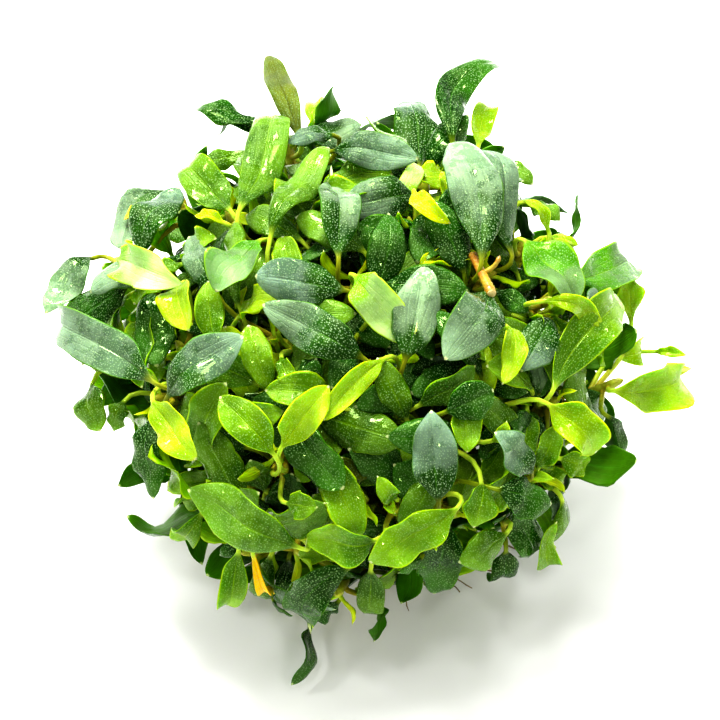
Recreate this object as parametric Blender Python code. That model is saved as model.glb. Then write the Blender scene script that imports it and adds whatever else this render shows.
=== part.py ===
"""A clump of bucephalandra: a knot of creeping rhizome, forked shoots, and stalked leaves on them.

The clump stands on the flat underside of its rhizome knot, with its origin in the middle of that face,
+Z up and its best side towards -Y. Lengths are in metres, and the leaf table is in millimetres.
"""

import math
from dataclasses import dataclass

import bmesh
import bpy
from mathutils import Matrix, Quaternion, Vector
from mathutils.bvhtree import BVHTree

MM = 0.001

# The rounded body that the outer leaves lie on
BODY_RADIUS = 40.0 * MM
BODY_HALF_HEIGHT = 26.5 * MM
BODY_MIDDLE = Vector((0.0, 0.0, 31.0 * MM))

# The sloping layout plane of the visible leaves: X runs right, and Y runs up the slope
SLOPE = math.radians(50.0)
VIEW_DISTANCE = 1.2
PLANE_RIGHT = Vector((1.0, 0.0, 0.0))
PLANE_UP = Vector((0.0, math.sin(SLOPE), math.cos(SLOPE)))
PLANE_OUT = Vector((0.0, -math.cos(SLOPE), math.sin(SLOPE)))

# Leaves
LAYER_DROP = 4.0 * MM
BASE_SINK = 2.2 * MM
BLADE_THICKNESS = 0.55 * MM
BLADE_CUP = 0.10
BLADE_ARCH = 0.12
PETIOLE_RADIUS = 0.42 * MM
BLADE_PULL = 0.4
FOOT_PULL = 0.35
WIDEST_AT = 1.12
FULLNESS = 0.72
SMALL_KEEL = 1.4
NEAR_TIP = 0.98
LARGE_STATIONS = (0.14, 0.4, 0.68, 0.9)
SMALL_STATIONS = (0.28, 0.72)
LARGE_PETIOLE_STATIONS = (0.5, 1.0)
SMALL_PETIOLE_STATIONS = (1.0,)
ROLL = math.radians(14.0)
GOLDEN_ANGLE = math.radians(137.5)

# Shoots
SHOOT_RADIUS = 1.15 * MM
TWIG_RADIUS = 0.85 * MM
SHOOT_SIDES = 4
TRUNK_SEGMENTS = 3
TWIG_SEGMENTS = 3
FORK_SHARE = 0.55
START_DIP = 0.4
FORK_STAGGER = 0.035
TWIG_BOW = 0.45
TWIG_TAPER = 0.85
TWIG_THINNER = 0.06
TRUNK_PULL = 0.5
TRUNK_LEAN = 2.0
LENGTH_STEPS = 8
BUD_LENGTH = 1.6
SHOOT_TURN = math.radians(3.0)
MOST_TURNS = 26
WRONG_SIDE = 0.6
CROWDING = 1.2 * MM
POINT_SINK = 11.5 * MM
HIGH_SINK = 0.6
FIRST_LEAF = 0.7 * MM
LEAF_PITCH = 1.15 * MM
LOWEST_FOOT = 0.02
FOOT_LEAN = 0.4

# Rhizome knot and roots
KNOT = "rhizome_knot"
KNOT_RADIUS = 13.0 * MM
KNOT_HEIGHT = 9.5 * MM
KNOT_SIDES = 12
KNOT_MIDDLE = Vector((0.0, 0.0, 2.0 * MM))
KNOT_RISES = (0.0, 0.3, 0.58, 0.82, 0.95)
KNOT_SHOULDER = 2.2
KNOT_LUMP = 0.09
LEAST_RISE = 0.2
ROOT_COUNT = 7
ROOT_RADIUS = 0.55 * MM
ROOT_REACH = 21.0 * MM
ROOT_REACHES = (0.85, 0.2)
ROOT_SWEEP = 5.0 * MM
ROOT_START = 0.6
ROOT_PULL = 0.75
ROOT_HEIGHTS = (3.2 * MM, 4.2 * MM, 1.1 * MM)
ROOT_TAPER = (1.2, 0.7)

# Room between pieces
GAP = 0.35 * MM
WELD = 0.001 * MM
FLOOR_ROOM = 0.5 * MM
SLIDE_STEP = 0.5 * MM
MOST_SLIDES = 24
LIFTS = 5
SIDE_STEP = 1.3 * MM
OUTWARD_COST = 1.6
ASIDE_COST = 5.0
TWIST_COST = 0.7
TWISTS = tuple(math.radians(angle) for angle in (0, 35, -35, 75, -75, 120, -120))

# Leaf tones
DARK, SHEEN, GREEN, BRIGHT = "dark", "sheen", "green", "bright"
LIME, YELLOW, YOLK, ORANGE, OLIVE = "lime", "yellow", "yolk", "orange", "olive"
TONE_COLOURS = {
    DARK: (0.018, 0.060, 0.022),
    SHEEN: (0.050, 0.110, 0.075),
    GREEN: (0.045, 0.150, 0.020),
    BRIGHT: (0.095, 0.300, 0.022),
    LIME: (0.260, 0.500, 0.030),
    YELLOW: (0.450, 0.560, 0.030),
    YOLK: (0.800, 0.620, 0.020),
    ORANGE: (0.750, 0.360, 0.030),
    OLIVE: (0.150, 0.210, 0.020),
}
RHIZOME_COLOUR = (0.290, 0.170, 0.050)
STEM_COLOUR = (0.230, 0.260, 0.040)
LEAF_ROUGHNESS = 0.25
WOOD_ROUGHNESS = 0.5


@dataclass(frozen=True)
class Leaf:
    """A leaf on the layout plane: blade base, blade tip and width in mm, and how deep its layer is."""

    base: tuple
    tip: tuple
    width: float
    layer: float
    tone: str
    bend: float = 0.0


@dataclass
class Blade:
    """A leaf in space: where its blade runs, which way it faces, and which way it may be slid."""

    base: Vector
    tip: Vector
    out: Vector
    lift: Vector
    width: float
    tone: str
    bend: float
    order: float
    large: bool


@dataclass(frozen=True)
class Shoot:
    """A forked shoot's growing points: those on the layout plane, and those that it doesn't show."""

    seen: tuple = ()
    hidden: tuple = ()


# The large outer leaves, each a piece of its own
LARGE_LEAVES = (
    Leaf((-18.0, 20.0), (-24.0, 26.0), 5.5, 0, GREEN),
    Leaf((-17.0, 20.0), (-12.5, 33.0), 6.0, 0, BRIGHT, 0.05),
    Leaf((-12.5, 16.5), (-4.5, 29.0), 5.0, 0.2, BRIGHT),
    Leaf((-3.0, 13.5), (-4.0, 26.5), 6.0, 0, SHEEN),
    Leaf((17.0, 13.0), (12.5, 29.5), 7.5, 0, SHEEN, 0.06),
    Leaf((23.0, 16.0), (30.0, 7.5), 7.5, 0.1, LIME),
    Leaf((25.5, 7.5), (34.0, 4.0), 3.0, 0, LIME, -0.12),
    Leaf((-37.5, 13.5), (-44.0, 6.0), 5.5, 0.2, SHEEN),
    Leaf((-34.0, 13.5), (-25.0, 10.0), 6.0, 0, LIME),
    Leaf((-29.5, -5.0), (-42.5, 3.0), 6.5, 0.2, SHEEN, 0.04),
    Leaf((-27.0, -6.0), (-16.5, 2.5), 6.5, 0, SHEEN),
    Leaf((-14.0, 16.0), (-20.0, 9.0), 6.5, 0.3, BRIGHT),
    Leaf((-2.0, 9.0), (-14.5, 11.0), 6.5, 0, DARK),
    Leaf((0.5, -0.5), (-13.5, 7.0), 6.5, 0, SHEEN),
    Leaf((-1.5, 10.0), (7.0, 4.0), 6.0, 0, LIME),
    Leaf((18.5, 9.0), (12.0, -0.5), 7.5, 0, SHEEN),
    Leaf((12.0, -8.0), (18.5, -5.0), 5.5, 0.2, DARK),
    Leaf((-11.0, -13.0), (-4.5, -4.5), 5.0, 0, LIME),
    Leaf((3.5, -0.5), (-5.0, -9.0), 3.5, 0.2, LIME, 0.05),
    Leaf((-12.0, -14.0), (-19.5, -6.0), 5.5, 0, BRIGHT),
    Leaf((11.0, -20.5), (10.0, -8.0), 6.5, 0, SHEEN),
    Leaf((14.5, -6.5), (15.0, -13.5), 4.5, 0.3, BRIGHT),
    Leaf((13.5, -21.5), (1.5, -29.5), 6.0, 0, LIME),
    Leaf((2.0, -26.0), (-7.5, -27.5), 6.0, 0.2, LIME),
    Leaf((-8.5, -27.0), (-24.0, -19.0), 7.5, 0, BRIGHT),
    Leaf((-29.0, -6.5), (-23.0, -14.5), 5.0, 0, YELLOW),
    Leaf((26.5, -7.0), (33.0, -13.5), 6.0, 0, YELLOW),
    Leaf((24.0, -16.5), (19.0, -11.0), 5.5, 0.1, SHEEN),
    Leaf((19.5, -17.5), (27.0, -19.5), 6.0, 0.3, DARK),
    Leaf((-1.0, -29.5), (-7.0, -39.0), 6.0, 0.4, DARK, 0.2),
    Leaf((13.0, 29.0), (19.5, 40.5), 5.0, 1, DARK, -0.18),
    Leaf((35.5, -5.0), (46.5, -2.0), 6.5, 1, LIME, 0.1),
    Leaf((22.5, 14.5), (16.0, 30.0), 5.0, 0.6, SHEEN),
    Leaf((27.0, -5.0), (36.5, 7.5), 6.5, 0.6, GREEN, -0.08),
    Leaf((-9.5, 29.5), (-14.0, 41.5), 4.0, 1, OLIVE),
    Leaf((5.0, -0.5), (7.5, 12.5), 6.5, 0.6, SHEEN),
    Leaf((7.5, 22.5), (-2.5, 20.5), 6.5, 0.6, SHEEN),
    Leaf((-4.0, 28.5), (8.0, 27.5), 5.5, 1, SHEEN),
    Leaf((29.5, 10.0), (37.5, 12.5), 6.5, 0.8, GREEN),
)

# The other leaves that show, which grow in one with their shoots
SMALL_LEAVES = (
    Leaf((20.5, 4.0), (20.0, -4.0), 3.5, 0.2, LIME, -0.12),
    Leaf((-13.5, 32.5), (-23.0, 34.5), 4.0, 1, DARK, -0.06),
    Leaf((-8.5, 30.0), (0.0, 32.5), 6.0, 1, DARK, 0.06),
    Leaf((-26.5, 23.0), (-33.5, 15.0), 6.5, 1.8, DARK, 0.18),
    Leaf((-31.0, 13.5), (-25.5, 23.5), 7.0, 0.9, SHEEN),
    Leaf((-33.0, 11.0), (-42.5, 3.0), 7.5, 0.8, DARK),
    Leaf((-25.0, 10.0), (-24.0, 3.5), 5.5, 0.5, BRIGHT),
    Leaf((-29.0, 8.5), (-28.5, -1.5), 6.0, 1.6, DARK),
    Leaf((-20.0, 8.5), (-24.0, 16.5), 5.0, 0.9, GREEN),
    Leaf((7.5, -5.5), (12.0, -0.5), 5.5, 0.9, SHEEN),
    Leaf((16.5, -8.0), (16.5, 2.0), 4.5, 0.9, GREEN),
    Leaf((25.5, 5.5), (21.5, -1.5), 6.0, 0.8, DARK),
    Leaf((-8.5, -13.5), (2.5, -10.0), 6.0, 0.7, SHEEN),
    Leaf((8.0, -12.0), (1.5, -8.5), 6.0, 0.9, BRIGHT),
    Leaf((16.0, -13.0), (12.0, -21.5), 5.0, 0.7, GREEN),
    Leaf((17.0, -18.0), (16.0, -24.0), 5.0, 0.2, BRIGHT),
    Leaf((-29.0, -8.5), (-29.0, -20.0), 5.5, 0.9, DARK),
    Leaf((-37.5, -4.0), (-36.5, -10.5), 5.5, 1.2, GREEN),
    Leaf((-10.0, -19.5), (-6.0, -20.0), 4.0, 0.3, BRIGHT),
    Leaf((-2.0, -23.0), (-5.5, -19.0), 5.0, 1, GREEN),
    Leaf((25.0, -16.0), (27.5, -10.0), 3.5, 0.4, LIME),
    Leaf((20.5, -25.0), (14.0, -29.0), 5.5, 0.5, GREEN),
    Leaf((12.0, -22.5), (10.5, -33.5), 6.5, 1, DARK),
    Leaf((-17.0, -27.5), (-18.5, -35.0), 4.0, 0.4, GREEN),
    Leaf((17.0, 12.5), (8.5, 12.5), 3.0, 0.1, YELLOW, 0.1),
    Leaf((7.5, 23.0), (12.5, 18.5), 3.0, 0.3, YELLOW, 0.15),
    Leaf((5.5, 21.5), (8.5, 26.5), 3.0, 0.4, LIME),
    Leaf((-19.0, 18.5), (-23.0, 19.5), 1.5, 0.3, YELLOW),
    Leaf((-13.5, 16.5), (-19.0, 19.0), 1.5, 0.3, YELLOW),
    Leaf((26.5, -10.0), (21.5, -8.0), 5.0, 1, DARK),
    Leaf((10.0, -21.5), (4.0, -16.5), 6.0, 1, DARK),
    Leaf((4.0, -21.0), (1.5, -18.0), 3.0, 0.9, BRIGHT),
    Leaf((5.0, -22.5), (-0.5, -23.0), 3.5, 1.8, DARK),
    Leaf((-16.0, -13.0), (-22.0, -11.0), 3.5, 1, DARK),
    Leaf((-11.0, -14.5), (-15.0, -18.5), 5.0, 1, DARK),
    Leaf((25.0, -16.0), (28.5, -18.0), 3.5, 0.9, BRIGHT),
    Leaf((20.5, -22.0), (22.5, -28.5), 5.0, 1, DARK),
    Leaf((27.0, -27.5), (27.5, -23.5), 3.5, 0.7, BRIGHT, -0.3),
    Leaf((-4.0, -31.5), (-8.5, -33.0), 4.0, 1, DARK),
    Leaf((-15.0, -28.0), (-12.0, -33.5), 1.5, 0.8, ORANGE),
    Leaf((-7.0, -38.0), (-9.5, -46.0), 2.0, 3.9, DARK, 0.05),
    Leaf((-3.5, 29.5), (-10.0, 28.5), 3.0, 1.3, SHEEN),
    Leaf((26.5, 17.0), (23.0, 21.5), 2.0, 1, LIME, 0.1),
    Leaf((18.5, -12.0), (20.5, -9.5), 2.0, 1, LIME, 0.1),
    Leaf((0.0, -1.5), (-5.5, -4.0), 2.5, 1, GREEN),
    Leaf((-11.0, -0.5), (-9.0, -5.0), 2.5, 1, GREEN),
    Leaf((-17.0, 5.0), (-16.0, 9.5), 1.5, 1, YELLOW),
    Leaf((34.5, -8.5), (36.0, -15.0), 2.0, 1, DARK, -0.15),
    Leaf((-13.5, 31.0), (-20.0, 31.0), 2.5, 2, DARK),
    Leaf((-15.5, 28.5), (-23.0, 26.0), 3.0, 2, GREEN),
    Leaf((-29.5, 20.5), (-33.0, 19.0), 1.5, 1.5, YOLK),
    Leaf((-12.0, 17.0), (-7.5, 20.0), 2.0, 2, YELLOW),
    Leaf((16.5, 29.0), (17.5, 34.5), 3.5, 2, LIME),
    Leaf((19.5, 26.5), (24.0, 24.0), 4.0, 2, GREEN),
    Leaf((10.5, 19.5), (8.0, 13.0), 6.0, 2, DARK),
    Leaf((23.5, 21.5), (28.0, 19.0), 3.0, 1.8, GREEN),
    Leaf((26.5, 16.5), (30.5, 15.5), 1.5, 1.8, LIME),
    Leaf((38.0, 4.5), (36.5, 11.5), 4.0, 1.8, LIME),
    Leaf((36.0, -0.5), (39.5, 2.0), 3.5, 1.8, LIME),
    Leaf((-33.0, -6.5), (-34.5, -10.5), 3.5, 2, GREEN),
    Leaf((-25.5, 0.5), (-21.5, 3.5), 3.5, 1.8, OLIVE),
    Leaf((-18.5, -17.5), (-26.0, -18.0), 3.5, 1.8, OLIVE),
    Leaf((-22.0, -22.0), (-26.0, -26.0), 4.0, 1.8, DARK),
    Leaf((-14.5, -19.5), (-16.5, -15.5), 5.0, 2, GREEN),
    Leaf((-7.5, -21.0), (-7.5, -26.0), 4.5, 1.3, DARK),
    Leaf((0.0, -19.0), (-7.5, -17.0), 5.0, 2, DARK),
    Leaf((-0.5, -18.5), (-2.5, -14.5), 3.5, 1.8, OLIVE),
    Leaf((1.5, -20.5), (2.0, -11.0), 5.0, 2, DARK),
    Leaf((20.5, -27.5), (19.0, -31.0), 4.5, 1.8, DARK),
    Leaf((28.0, -14.5), (32.0, -15.0), 4.0, 1.8, GREEN),
    Leaf((28.0, -19.0), (27.0, -23.0), 3.0, 1.8, SHEEN),
    Leaf((-12.5, -28.0), (-13.5, -34.0), 3.5, 1.8, OLIVE),
    Leaf((-10.0, -28.5), (-10.5, -34.5), 3.0, 1.8, DARK),
    Leaf((-3.0, -34.5), (-7.5, -37.0), 4.0, 1.8, DARK),
    Leaf((1.5, -30.0), (2.0, -35.5), 4.0, 1.8, OLIVE),
    Leaf((2.5, -35.0), (2.0, -40.0), 3.5, 1.8, DARK),
    Leaf((-11.5, -12.0), (-14.5, -5.0), 3.5, 1.8, DARK),
    Leaf((-0.5, -4.0), (5.5, -7.0), 5.0, 1.8, DARK),
)

# The shoots, with their growing points on the layout plane (x, y and extra depth in mm)
# and their growing points on the far side and underneath (azimuth and elevation in degrees)
SHOOTS = (
    Shoot(seen=((-18.0, 19.0, 0.0), (-13.0, 16.0, 1.0))),
    Shoot(seen=((-33.0, 12.0, -4.0), (-25.0, 21.5, 1.0))),
    Shoot(seen=((-28.0, -6.0, -1.0), (-25.0, 1.0, 3.0))),
    Shoot(seen=((-11.0, -14.0, 0.0), (-16.5, -18.5, 2.0))),
    Shoot(seen=((-8.5, -27.5, 0.0), (-15.5, -27.5, 2.0))),
    Shoot(seen=((-3.0, -33.0, 1.0), (-7.0, -35.0, 9.0)), hidden=((292, -34),)),
    Shoot(seen=((-0.5, 10.0, 0.0), (-12.0, 2.0, 1.0))),
    Shoot(seen=((3.0, -1.0, 0.0), (9.0, 5.0, 2.5))),
    Shoot(seen=((16.5, -6.0, 0.0), (10.0, -11.0, 1.0))),
    Shoot(seen=((13.0, -22.0, 0.0), (5.0, -21.5, 1.5), (-2.0, -21.0, 2.0))),
    Shoot(seen=((24.0, -17.0, 0.0), (28.0, -16.0, 2.0), (21.0, -24.5, 1.0))),
    Shoot(seen=((27.0, -6.5, 0.0), (35.5, -4.0, -3.0)), hidden=((338, -28),)),
    Shoot(seen=((18.0, 11.0, 0.0), (7.0, 18.0, 1.0))),
    Shoot(seen=((26.0, 7.5, 0.0), (22.5, 15.0, 1.0))),
    Shoot(seen=((-10.0, 28.5, 0.0),), hidden=((116, 38),)),
    Shoot(seen=((14.0, 28.5, 0.0),), hidden=((66, 38),)),
    Shoot(hidden=((4, -20), (28, 4), (50, -18))),
    Shoot(hidden=((66, 14), (86, -10), (104, 18))),
    Shoot(hidden=((122, -20), (140, 6), (164, -14))),
    Shoot(hidden=((196, -34), (232, -42))),
)
HIDDEN_LEAVES = 4
HIDDEN_LENGTH = 13.0 * MM
HIDDEN_WIDTH = 5.8 * MM
HIDDEN_TONES = (DARK, GREEN, DARK, SHEEN, BRIGHT)
HIDDEN_SPREAD = (math.radians(38.0), math.radians(66.0))
HIDDEN_STALK = (2.5 * MM, 4.5 * MM)
HIDDEN_LEAST = 0.8
HIDDEN_LONGER = 0.35
HIDDEN_WIDER = 0.3
HIDDEN_ORDER = 3.0


def body_depth(across, up):
    """How far in front of the layout plane the body's surface is, or where it is nearest past its edge."""
    wide, high = BODY_RADIUS**2, BODY_HALF_HEIGHT**2
    sine, cosine = math.sin(SLOPE), math.cos(SLOPE)
    square = cosine**2 / wide + sine**2 / high
    linear = 2.0 * up * sine * cosine * (1.0 / high - 1.0 / wide)
    rest = (across**2 + (up * sine) ** 2) / wide + (up * cosine) ** 2 / high - 1.0
    inside = max(linear**2 - 4.0 * square * rest, 0.0)
    return (math.sqrt(inside) - linear) / (2.0 * square)


def on_layout(x, y, depth):
    """The point at x, y of the layout plane, in mm, at a depth in metres over the body's surface."""
    across, up = x * MM, y * MM
    out = body_depth(across, up) + depth
    nearer = (VIEW_DISTANCE - out) / VIEW_DISTANCE
    return BODY_MIDDLE + (PLANE_RIGHT * across + PLANE_UP * up) * nearer + PLANE_OUT * out


def body_normal(point):
    """The body's outward direction at a point near its surface."""
    local = point - BODY_MIDDLE
    wide, high = BODY_RADIUS**2, BODY_HALF_HEIGHT**2
    return Vector((local.x / wide, local.y / wide, local.z / high)).normalized()


def blade_of(leaf, index, large):
    """The blade that a row of the leaf table stands for."""
    base = on_layout(*leaf.base, -LAYER_DROP * leaf.layer - BASE_SINK)
    tip = on_layout(*leaf.tip, -LAYER_DROP * leaf.layer)
    axis = (tip - base).normalized()
    facing = (body_normal((base + tip) / 2.0) + PLANE_OUT).normalized()
    facing = Quaternion(axis, ROLL * math.sin(GOLDEN_ANGLE * index)) @ facing
    return Blade(
        base, tip, facing, PLANE_OUT, leaf.width * MM, leaf.tone, leaf.bend, leaf.layer, large
    )


def hidden_blade(point, outward, number):
    """One leaf of a hidden growing point's whorl."""
    level = number / (HIDDEN_LEAVES - 1)
    spread = HIDDEN_SPREAD[0] + (HIDDEN_SPREAD[1] - HIDDEN_SPREAD[0]) * level
    aside = outward.orthogonal().normalized()
    aside = Quaternion(outward, GOLDEN_ANGLE * number) @ aside
    axis = outward * math.cos(spread) + aside * math.sin(spread)
    length = HIDDEN_LENGTH * (HIDDEN_LEAST + HIDDEN_LONGER * level)
    base = point + axis * (HIDDEN_STALK[0] + (HIDDEN_STALK[1] - HIDDEN_STALK[0]) * level)
    tip = base + axis * length
    facing = (outward * math.sin(spread) - aside * math.cos(spread)).normalized()
    width = HIDDEN_WIDTH * (HIDDEN_LEAST + HIDDEN_WIDER * level)
    tone = HIDDEN_TONES[number % len(HIDDEN_TONES)]
    return Blade(base, tip, facing, outward, width, tone, 0.0, HIDDEN_ORDER + level, False)


def tube_faces(rings, corners):
    """Faces of a tube through rings of points, with its first ring closed and its last one open."""
    faces = [tuple(range(corners))[::-1]]
    for first in range(0, (rings - 1) * corners, corners):
        for corner in range(corners):
            near, far = first + corner, first + (corner + 1) % corners
            faces += [(near, far, far + corners), (near, far + corners, near + corners)]
    return faces


class Form:
    """A leaf's rings in space for one slide and one place on its twig, and the faces between them."""

    def __init__(self, blade, slide, foot, foot_out, swell=0.0):
        self.blade = blade
        self.base = blade.base + slide
        self.tip = blade.tip + slide
        self.foot = foot
        self.foot_out = foot_out
        self.swell = swell
        axis = self.tip - self.base
        self.length = axis.length
        self.out = (blade.out - axis * blade.out.dot(axis) / axis.length_squared).normalized()
        self.side = axis.cross(self.out).normalized()
        bow = self.out * BLADE_ARCH + self.side * blade.bend
        self.middle = (self.base + self.tip) / 2.0 + bow * self.length * 2.0

    def at(self, share):
        """Point and direction of the midrib at a share of the blade's length."""
        back = 1.0 - share
        point = self.base * back**2 + self.middle * 2.0 * back * share + self.tip * share**2
        along = (self.middle - self.base) * back + (self.tip - self.middle) * share
        return point, along.normalized()

    def half_width(self, share):
        """Half of the blade's width at a share of its length."""
        outline = math.sin(math.pi * share**WIDEST_AT) ** FULLNESS
        return max(self.blade.width / 2.0 * outline, PETIOLE_RADIUS) + self.swell

    def blade_ring(self, share):
        """Left edge, top, right edge and underside of the blade at a share of its length."""
        point, along = self.at(share)
        side = along.cross(self.out).normalized()
        up = side.cross(along)
        half = self.half_width(share)
        thick = BLADE_THICKNESS / 2.0 + self.swell
        cup = up * BLADE_CUP * (half - PETIOLE_RADIUS)
        left, right = point - side * half + cup, point + side * half + cup
        if self.blade.large:
            return [left, point + up * thick, right, point - up * thick]
        return [left, right, point - up * thick * SMALL_KEEL]

    def petiole_points(self, shares):
        """Points of the petiole's middle line, from the blade down to its foot."""
        start, along = self.at(0.0)
        reach = (start - self.foot).length
        pull = start - along * reach * BLADE_PULL
        push = self.foot + self.foot_out * reach * FOOT_PULL
        points = []
        for share in (0.0, *shares):
            back = 1.0 - share
            point = start * back**3 + pull * 3.0 * back**2 * share
            points.append(point + push * 3.0 * back * share**2 + self.foot * share**3)
        return points

    def petiole_rings(self, shares):
        """Rings of the petiole, from the blade down to its foot, each square to the stretches beside it."""
        points = self.petiole_points(shares)
        before = self.at(0.0)[1]
        side = before.cross(self.out).normalized()
        up = side.cross(before)
        ways = [(first - second).normalized() for first, second in zip(points, points[1:])]
        both = zip([before, *ways], [*ways, ways[-1]])
        radius = PETIOLE_RADIUS + self.swell
        rings = []
        for point, way in zip(points, [(one + other).normalized() for one, other in both]):
            turn = before.rotation_difference(way)
            side, up, before = turn @ side, turn @ up, way
            across, rise = side * radius, up * radius
            if self.blade.large:
                rings.append([point - across, point + rise, point + across, point - rise])
            else:
                rings.append([point - across + rise / 2.0, point + across + rise / 2.0, point - rise])
        return rings

    def mesh(self, petiole=True):
        """Corner points and faces of the closed leaf, or of its blade alone."""
        large = self.blade.large
        stations = LARGE_STATIONS if large else SMALL_STATIONS
        feet = LARGE_PETIOLE_STATIONS if large else SMALL_PETIOLE_STATIONS
        rings = self.petiole_rings(feet)[::-1] if petiole else [self.blade_ring(0.0)]
        rings += [self.blade_ring(share) for share in stations]
        points = [corner for ring in rings for corner in ring]
        corners = len(rings[0])
        faces = tube_faces(len(rings), corners)
        last, end = len(points) - corners, len(points)
        points.append(self.tip + (self.tip - self.at(NEAR_TIP)[0]).normalized() * self.swell)
        faces += [(last + corner, last + (corner + 1) % corners, end) for corner in range(corners)]
        return points, faces


class Twig:
    """A stretch of shoot along a curve, with the growing point at its end."""

    def __init__(self, start, pull, end, radius, end_radius):
        self.start, self.pull, self.end = start, pull, end
        self.radius, self.end_radius = radius, end_radius
        places = [self.at(step / LENGTH_STEPS)[0] for step in range(LENGTH_STEPS + 1)]
        self.length = sum((first - second).length for first, second in zip(places, places[1:]))
        self.leaves = 0

    def at(self, share):
        """Point and direction of the twig's middle line at a share of its length."""
        back = 1.0 - share
        point = self.start * back**2 + self.pull * 2.0 * back * share + self.end * share**2
        along = (self.pull - self.start) * back + (self.end - self.pull) * share
        return point, along.normalized()

    def mesh(self, segments=TWIG_SEGMENTS, swell=0.0):
        """Corner points and faces of the twig, closed at its start and pointed at its bud."""
        points, faces = [], tube_faces(segments + 1, SHOOT_SIDES)
        side = self.at(0.0)[1].orthogonal().normalized()
        before = self.at(0.0)[1]
        for step in range(segments + 1):
            share = step / segments
            point, along = self.at(share)
            side = before.rotation_difference(along) @ side
            before = along
            radius = self.radius + (self.end_radius - self.radius) * share + swell
            for corner in range(SHOOT_SIDES):
                turn = Quaternion(along, 2.0 * math.pi * corner / SHOOT_SIDES)
                points.append(point + turn @ side * radius)
        last, end = segments * SHOOT_SIDES, len(points)
        point, along = self.at(1.0)
        points.append(point + along * self.end_radius * BUD_LENGTH)
        faces += [(last + corner, last + (corner + 1) % SHOOT_SIDES, end) for corner in range(SHOOT_SIDES)]
        return points, faces

    def on_stretch(self, share):
        """Point and direction of the straight stretch of the solid twig at a share of its length."""
        first = math.floor(share * TWIG_SEGMENTS)
        start, end = self.at(first / TWIG_SEGMENTS)[0], self.at((first + 1) / TWIG_SEGMENTS)[0]
        return start.lerp(end, share * TWIG_SEGMENTS - first), (end - start).normalized()

    def next_foot(self, towards, twist, inside):
        """Where the next leaf's petiole meets this twig, and the direction that it leaves in."""
        down = FIRST_LEAF + LEAF_PITCH * self.leaves
        point, along = self.on_stretch(max(1.0 - down / self.length, LOWEST_FOOT))
        aside = towards - point
        aside = (aside - along * aside.dot(along)).normalized()
        aside = Quaternion(along, twist) @ aside
        if inside:
            return point, (aside + along * FOOT_LEAN).normalized()
        return point + aside * (self.radius + GAP), aside


@dataclass
class Tip:
    """A growing point: the shoot that it belongs to, its twig, and whether the layout plane shows it."""

    shoot: str
    twig: Twig
    seen: bool


class Placed:
    """Room that is already taken: its owner, its box and a tree of its faces."""

    def __init__(self, owner, points, faces):
        self.owner = owner
        self.low, self.high = box_of(points)
        self.tree = BVHTree.FromPolygons(points, faces)

    def meets(self, low, high, tree):
        """Whether a tree of faces in the given box cuts this one."""
        if any(low[axis] > self.high[axis] or high[axis] < self.low[axis] for axis in range(3)):
            return False
        return bool(self.tree.overlap(tree))


def tree_of(solid):
    """A tree of the faces of a solid."""
    return BVHTree.FromPolygons(*solid)


def box_of(points):
    """Lowest and highest corners of some points."""
    low = Vector([min(point[axis] for point in points) for axis in range(3)])
    high = Vector([max(point[axis] for point in points) for axis in range(3)])
    return low, high


def ways_out():
    """Slide along the leaf's own way, slide aside and twist round the twig, the smallest change first."""
    ways = []
    for slide in range(-LIFTS, MOST_SLIDES + 1):
        for aside in (0, 1, -1):
            for turn, twist in enumerate(TWISTS):
                sliding = abs(slide) * (OUTWARD_COST if slide < 0 else 1.0)
                cost = sliding + abs(aside) * ASIDE_COST + turn * TWIST_COST
                ways.append((cost, slide, aside, twist))
    return [way[1:] for way in sorted(ways)]


def settle(blade, tip, placed, ways):
    """The first way in which the leaf is clear of all that is placed, or None."""
    for slide, aside, twist in ways:
        across = blade.lift.cross(blade.tip - blade.base).normalized()
        shift = across * SIDE_STEP * aside - blade.lift * SLIDE_STEP * slide
        foot, foot_out = tip.twig.next_foot(blade.base + shift, twist, not blade.large)
        room = Form(blade, shift, foot, foot_out, GAP).mesh()
        low, high = box_of(room[0])
        if low.z < FLOOR_ROOM:
            continue
        tree = tree_of(room)
        form = Form(blade, shift, foot, foot_out)
        bare_tree = tree_of(form.mesh(petiole=blade.large))
        wood = f"{tip.shoot}_wood"
        if not any(other.meets(low, high, bare_tree if other.owner == wood else tree) for other in placed):
            return form
    return None


def mesh_object(name, points, faces, colour, roughness):
    """A named object from corner points and faces, with a material of its own."""
    mesh = bpy.data.meshes.new(name)
    mesh.from_pydata([tuple(point) for point in points], [], faces)
    mesh.validate()
    thing = bpy.data.objects.new(name, mesh)
    bpy.context.scene.collection.objects.link(thing)
    material = bpy.data.materials.new(name)
    material.use_nodes = True
    shader = material.node_tree.nodes["Principled BSDF"]
    shader.inputs["Base Color"].default_value = (*colour, 1.0)
    shader.inputs["Roughness"].default_value = roughness
    shader.inputs["Metallic"].default_value = 0.0
    mesh.materials.append(material)
    return thing


def outer_shell(mesh):
    """Keep the largest shell of a mesh, which fills sealed hollows, and say whether its edges are sound."""
    shape = bmesh.new()
    shape.from_mesh(mesh)
    left, shells = set(shape.verts), []
    while left:
        shell, edge_of_shell = set(), [left.pop()]
        while edge_of_shell:
            vertex = edge_of_shell.pop()
            shell.add(vertex)
            new = {edge.other_vert(vertex) for edge in vertex.link_edges} & left
            left -= new
            edge_of_shell += new
        shells.append(shell)
    shells.sort(key=len)
    for shell in shells[:-1]:
        bmesh.ops.delete(shape, geom=list(shell), context="VERTS")
    shape.to_mesh(mesh)
    bmesh.ops.remove_doubles(shape, verts=shape.verts, dist=WELD)
    sound = all(edge.is_manifold for edge in shape.edges)
    shape.free()
    return sound


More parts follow.
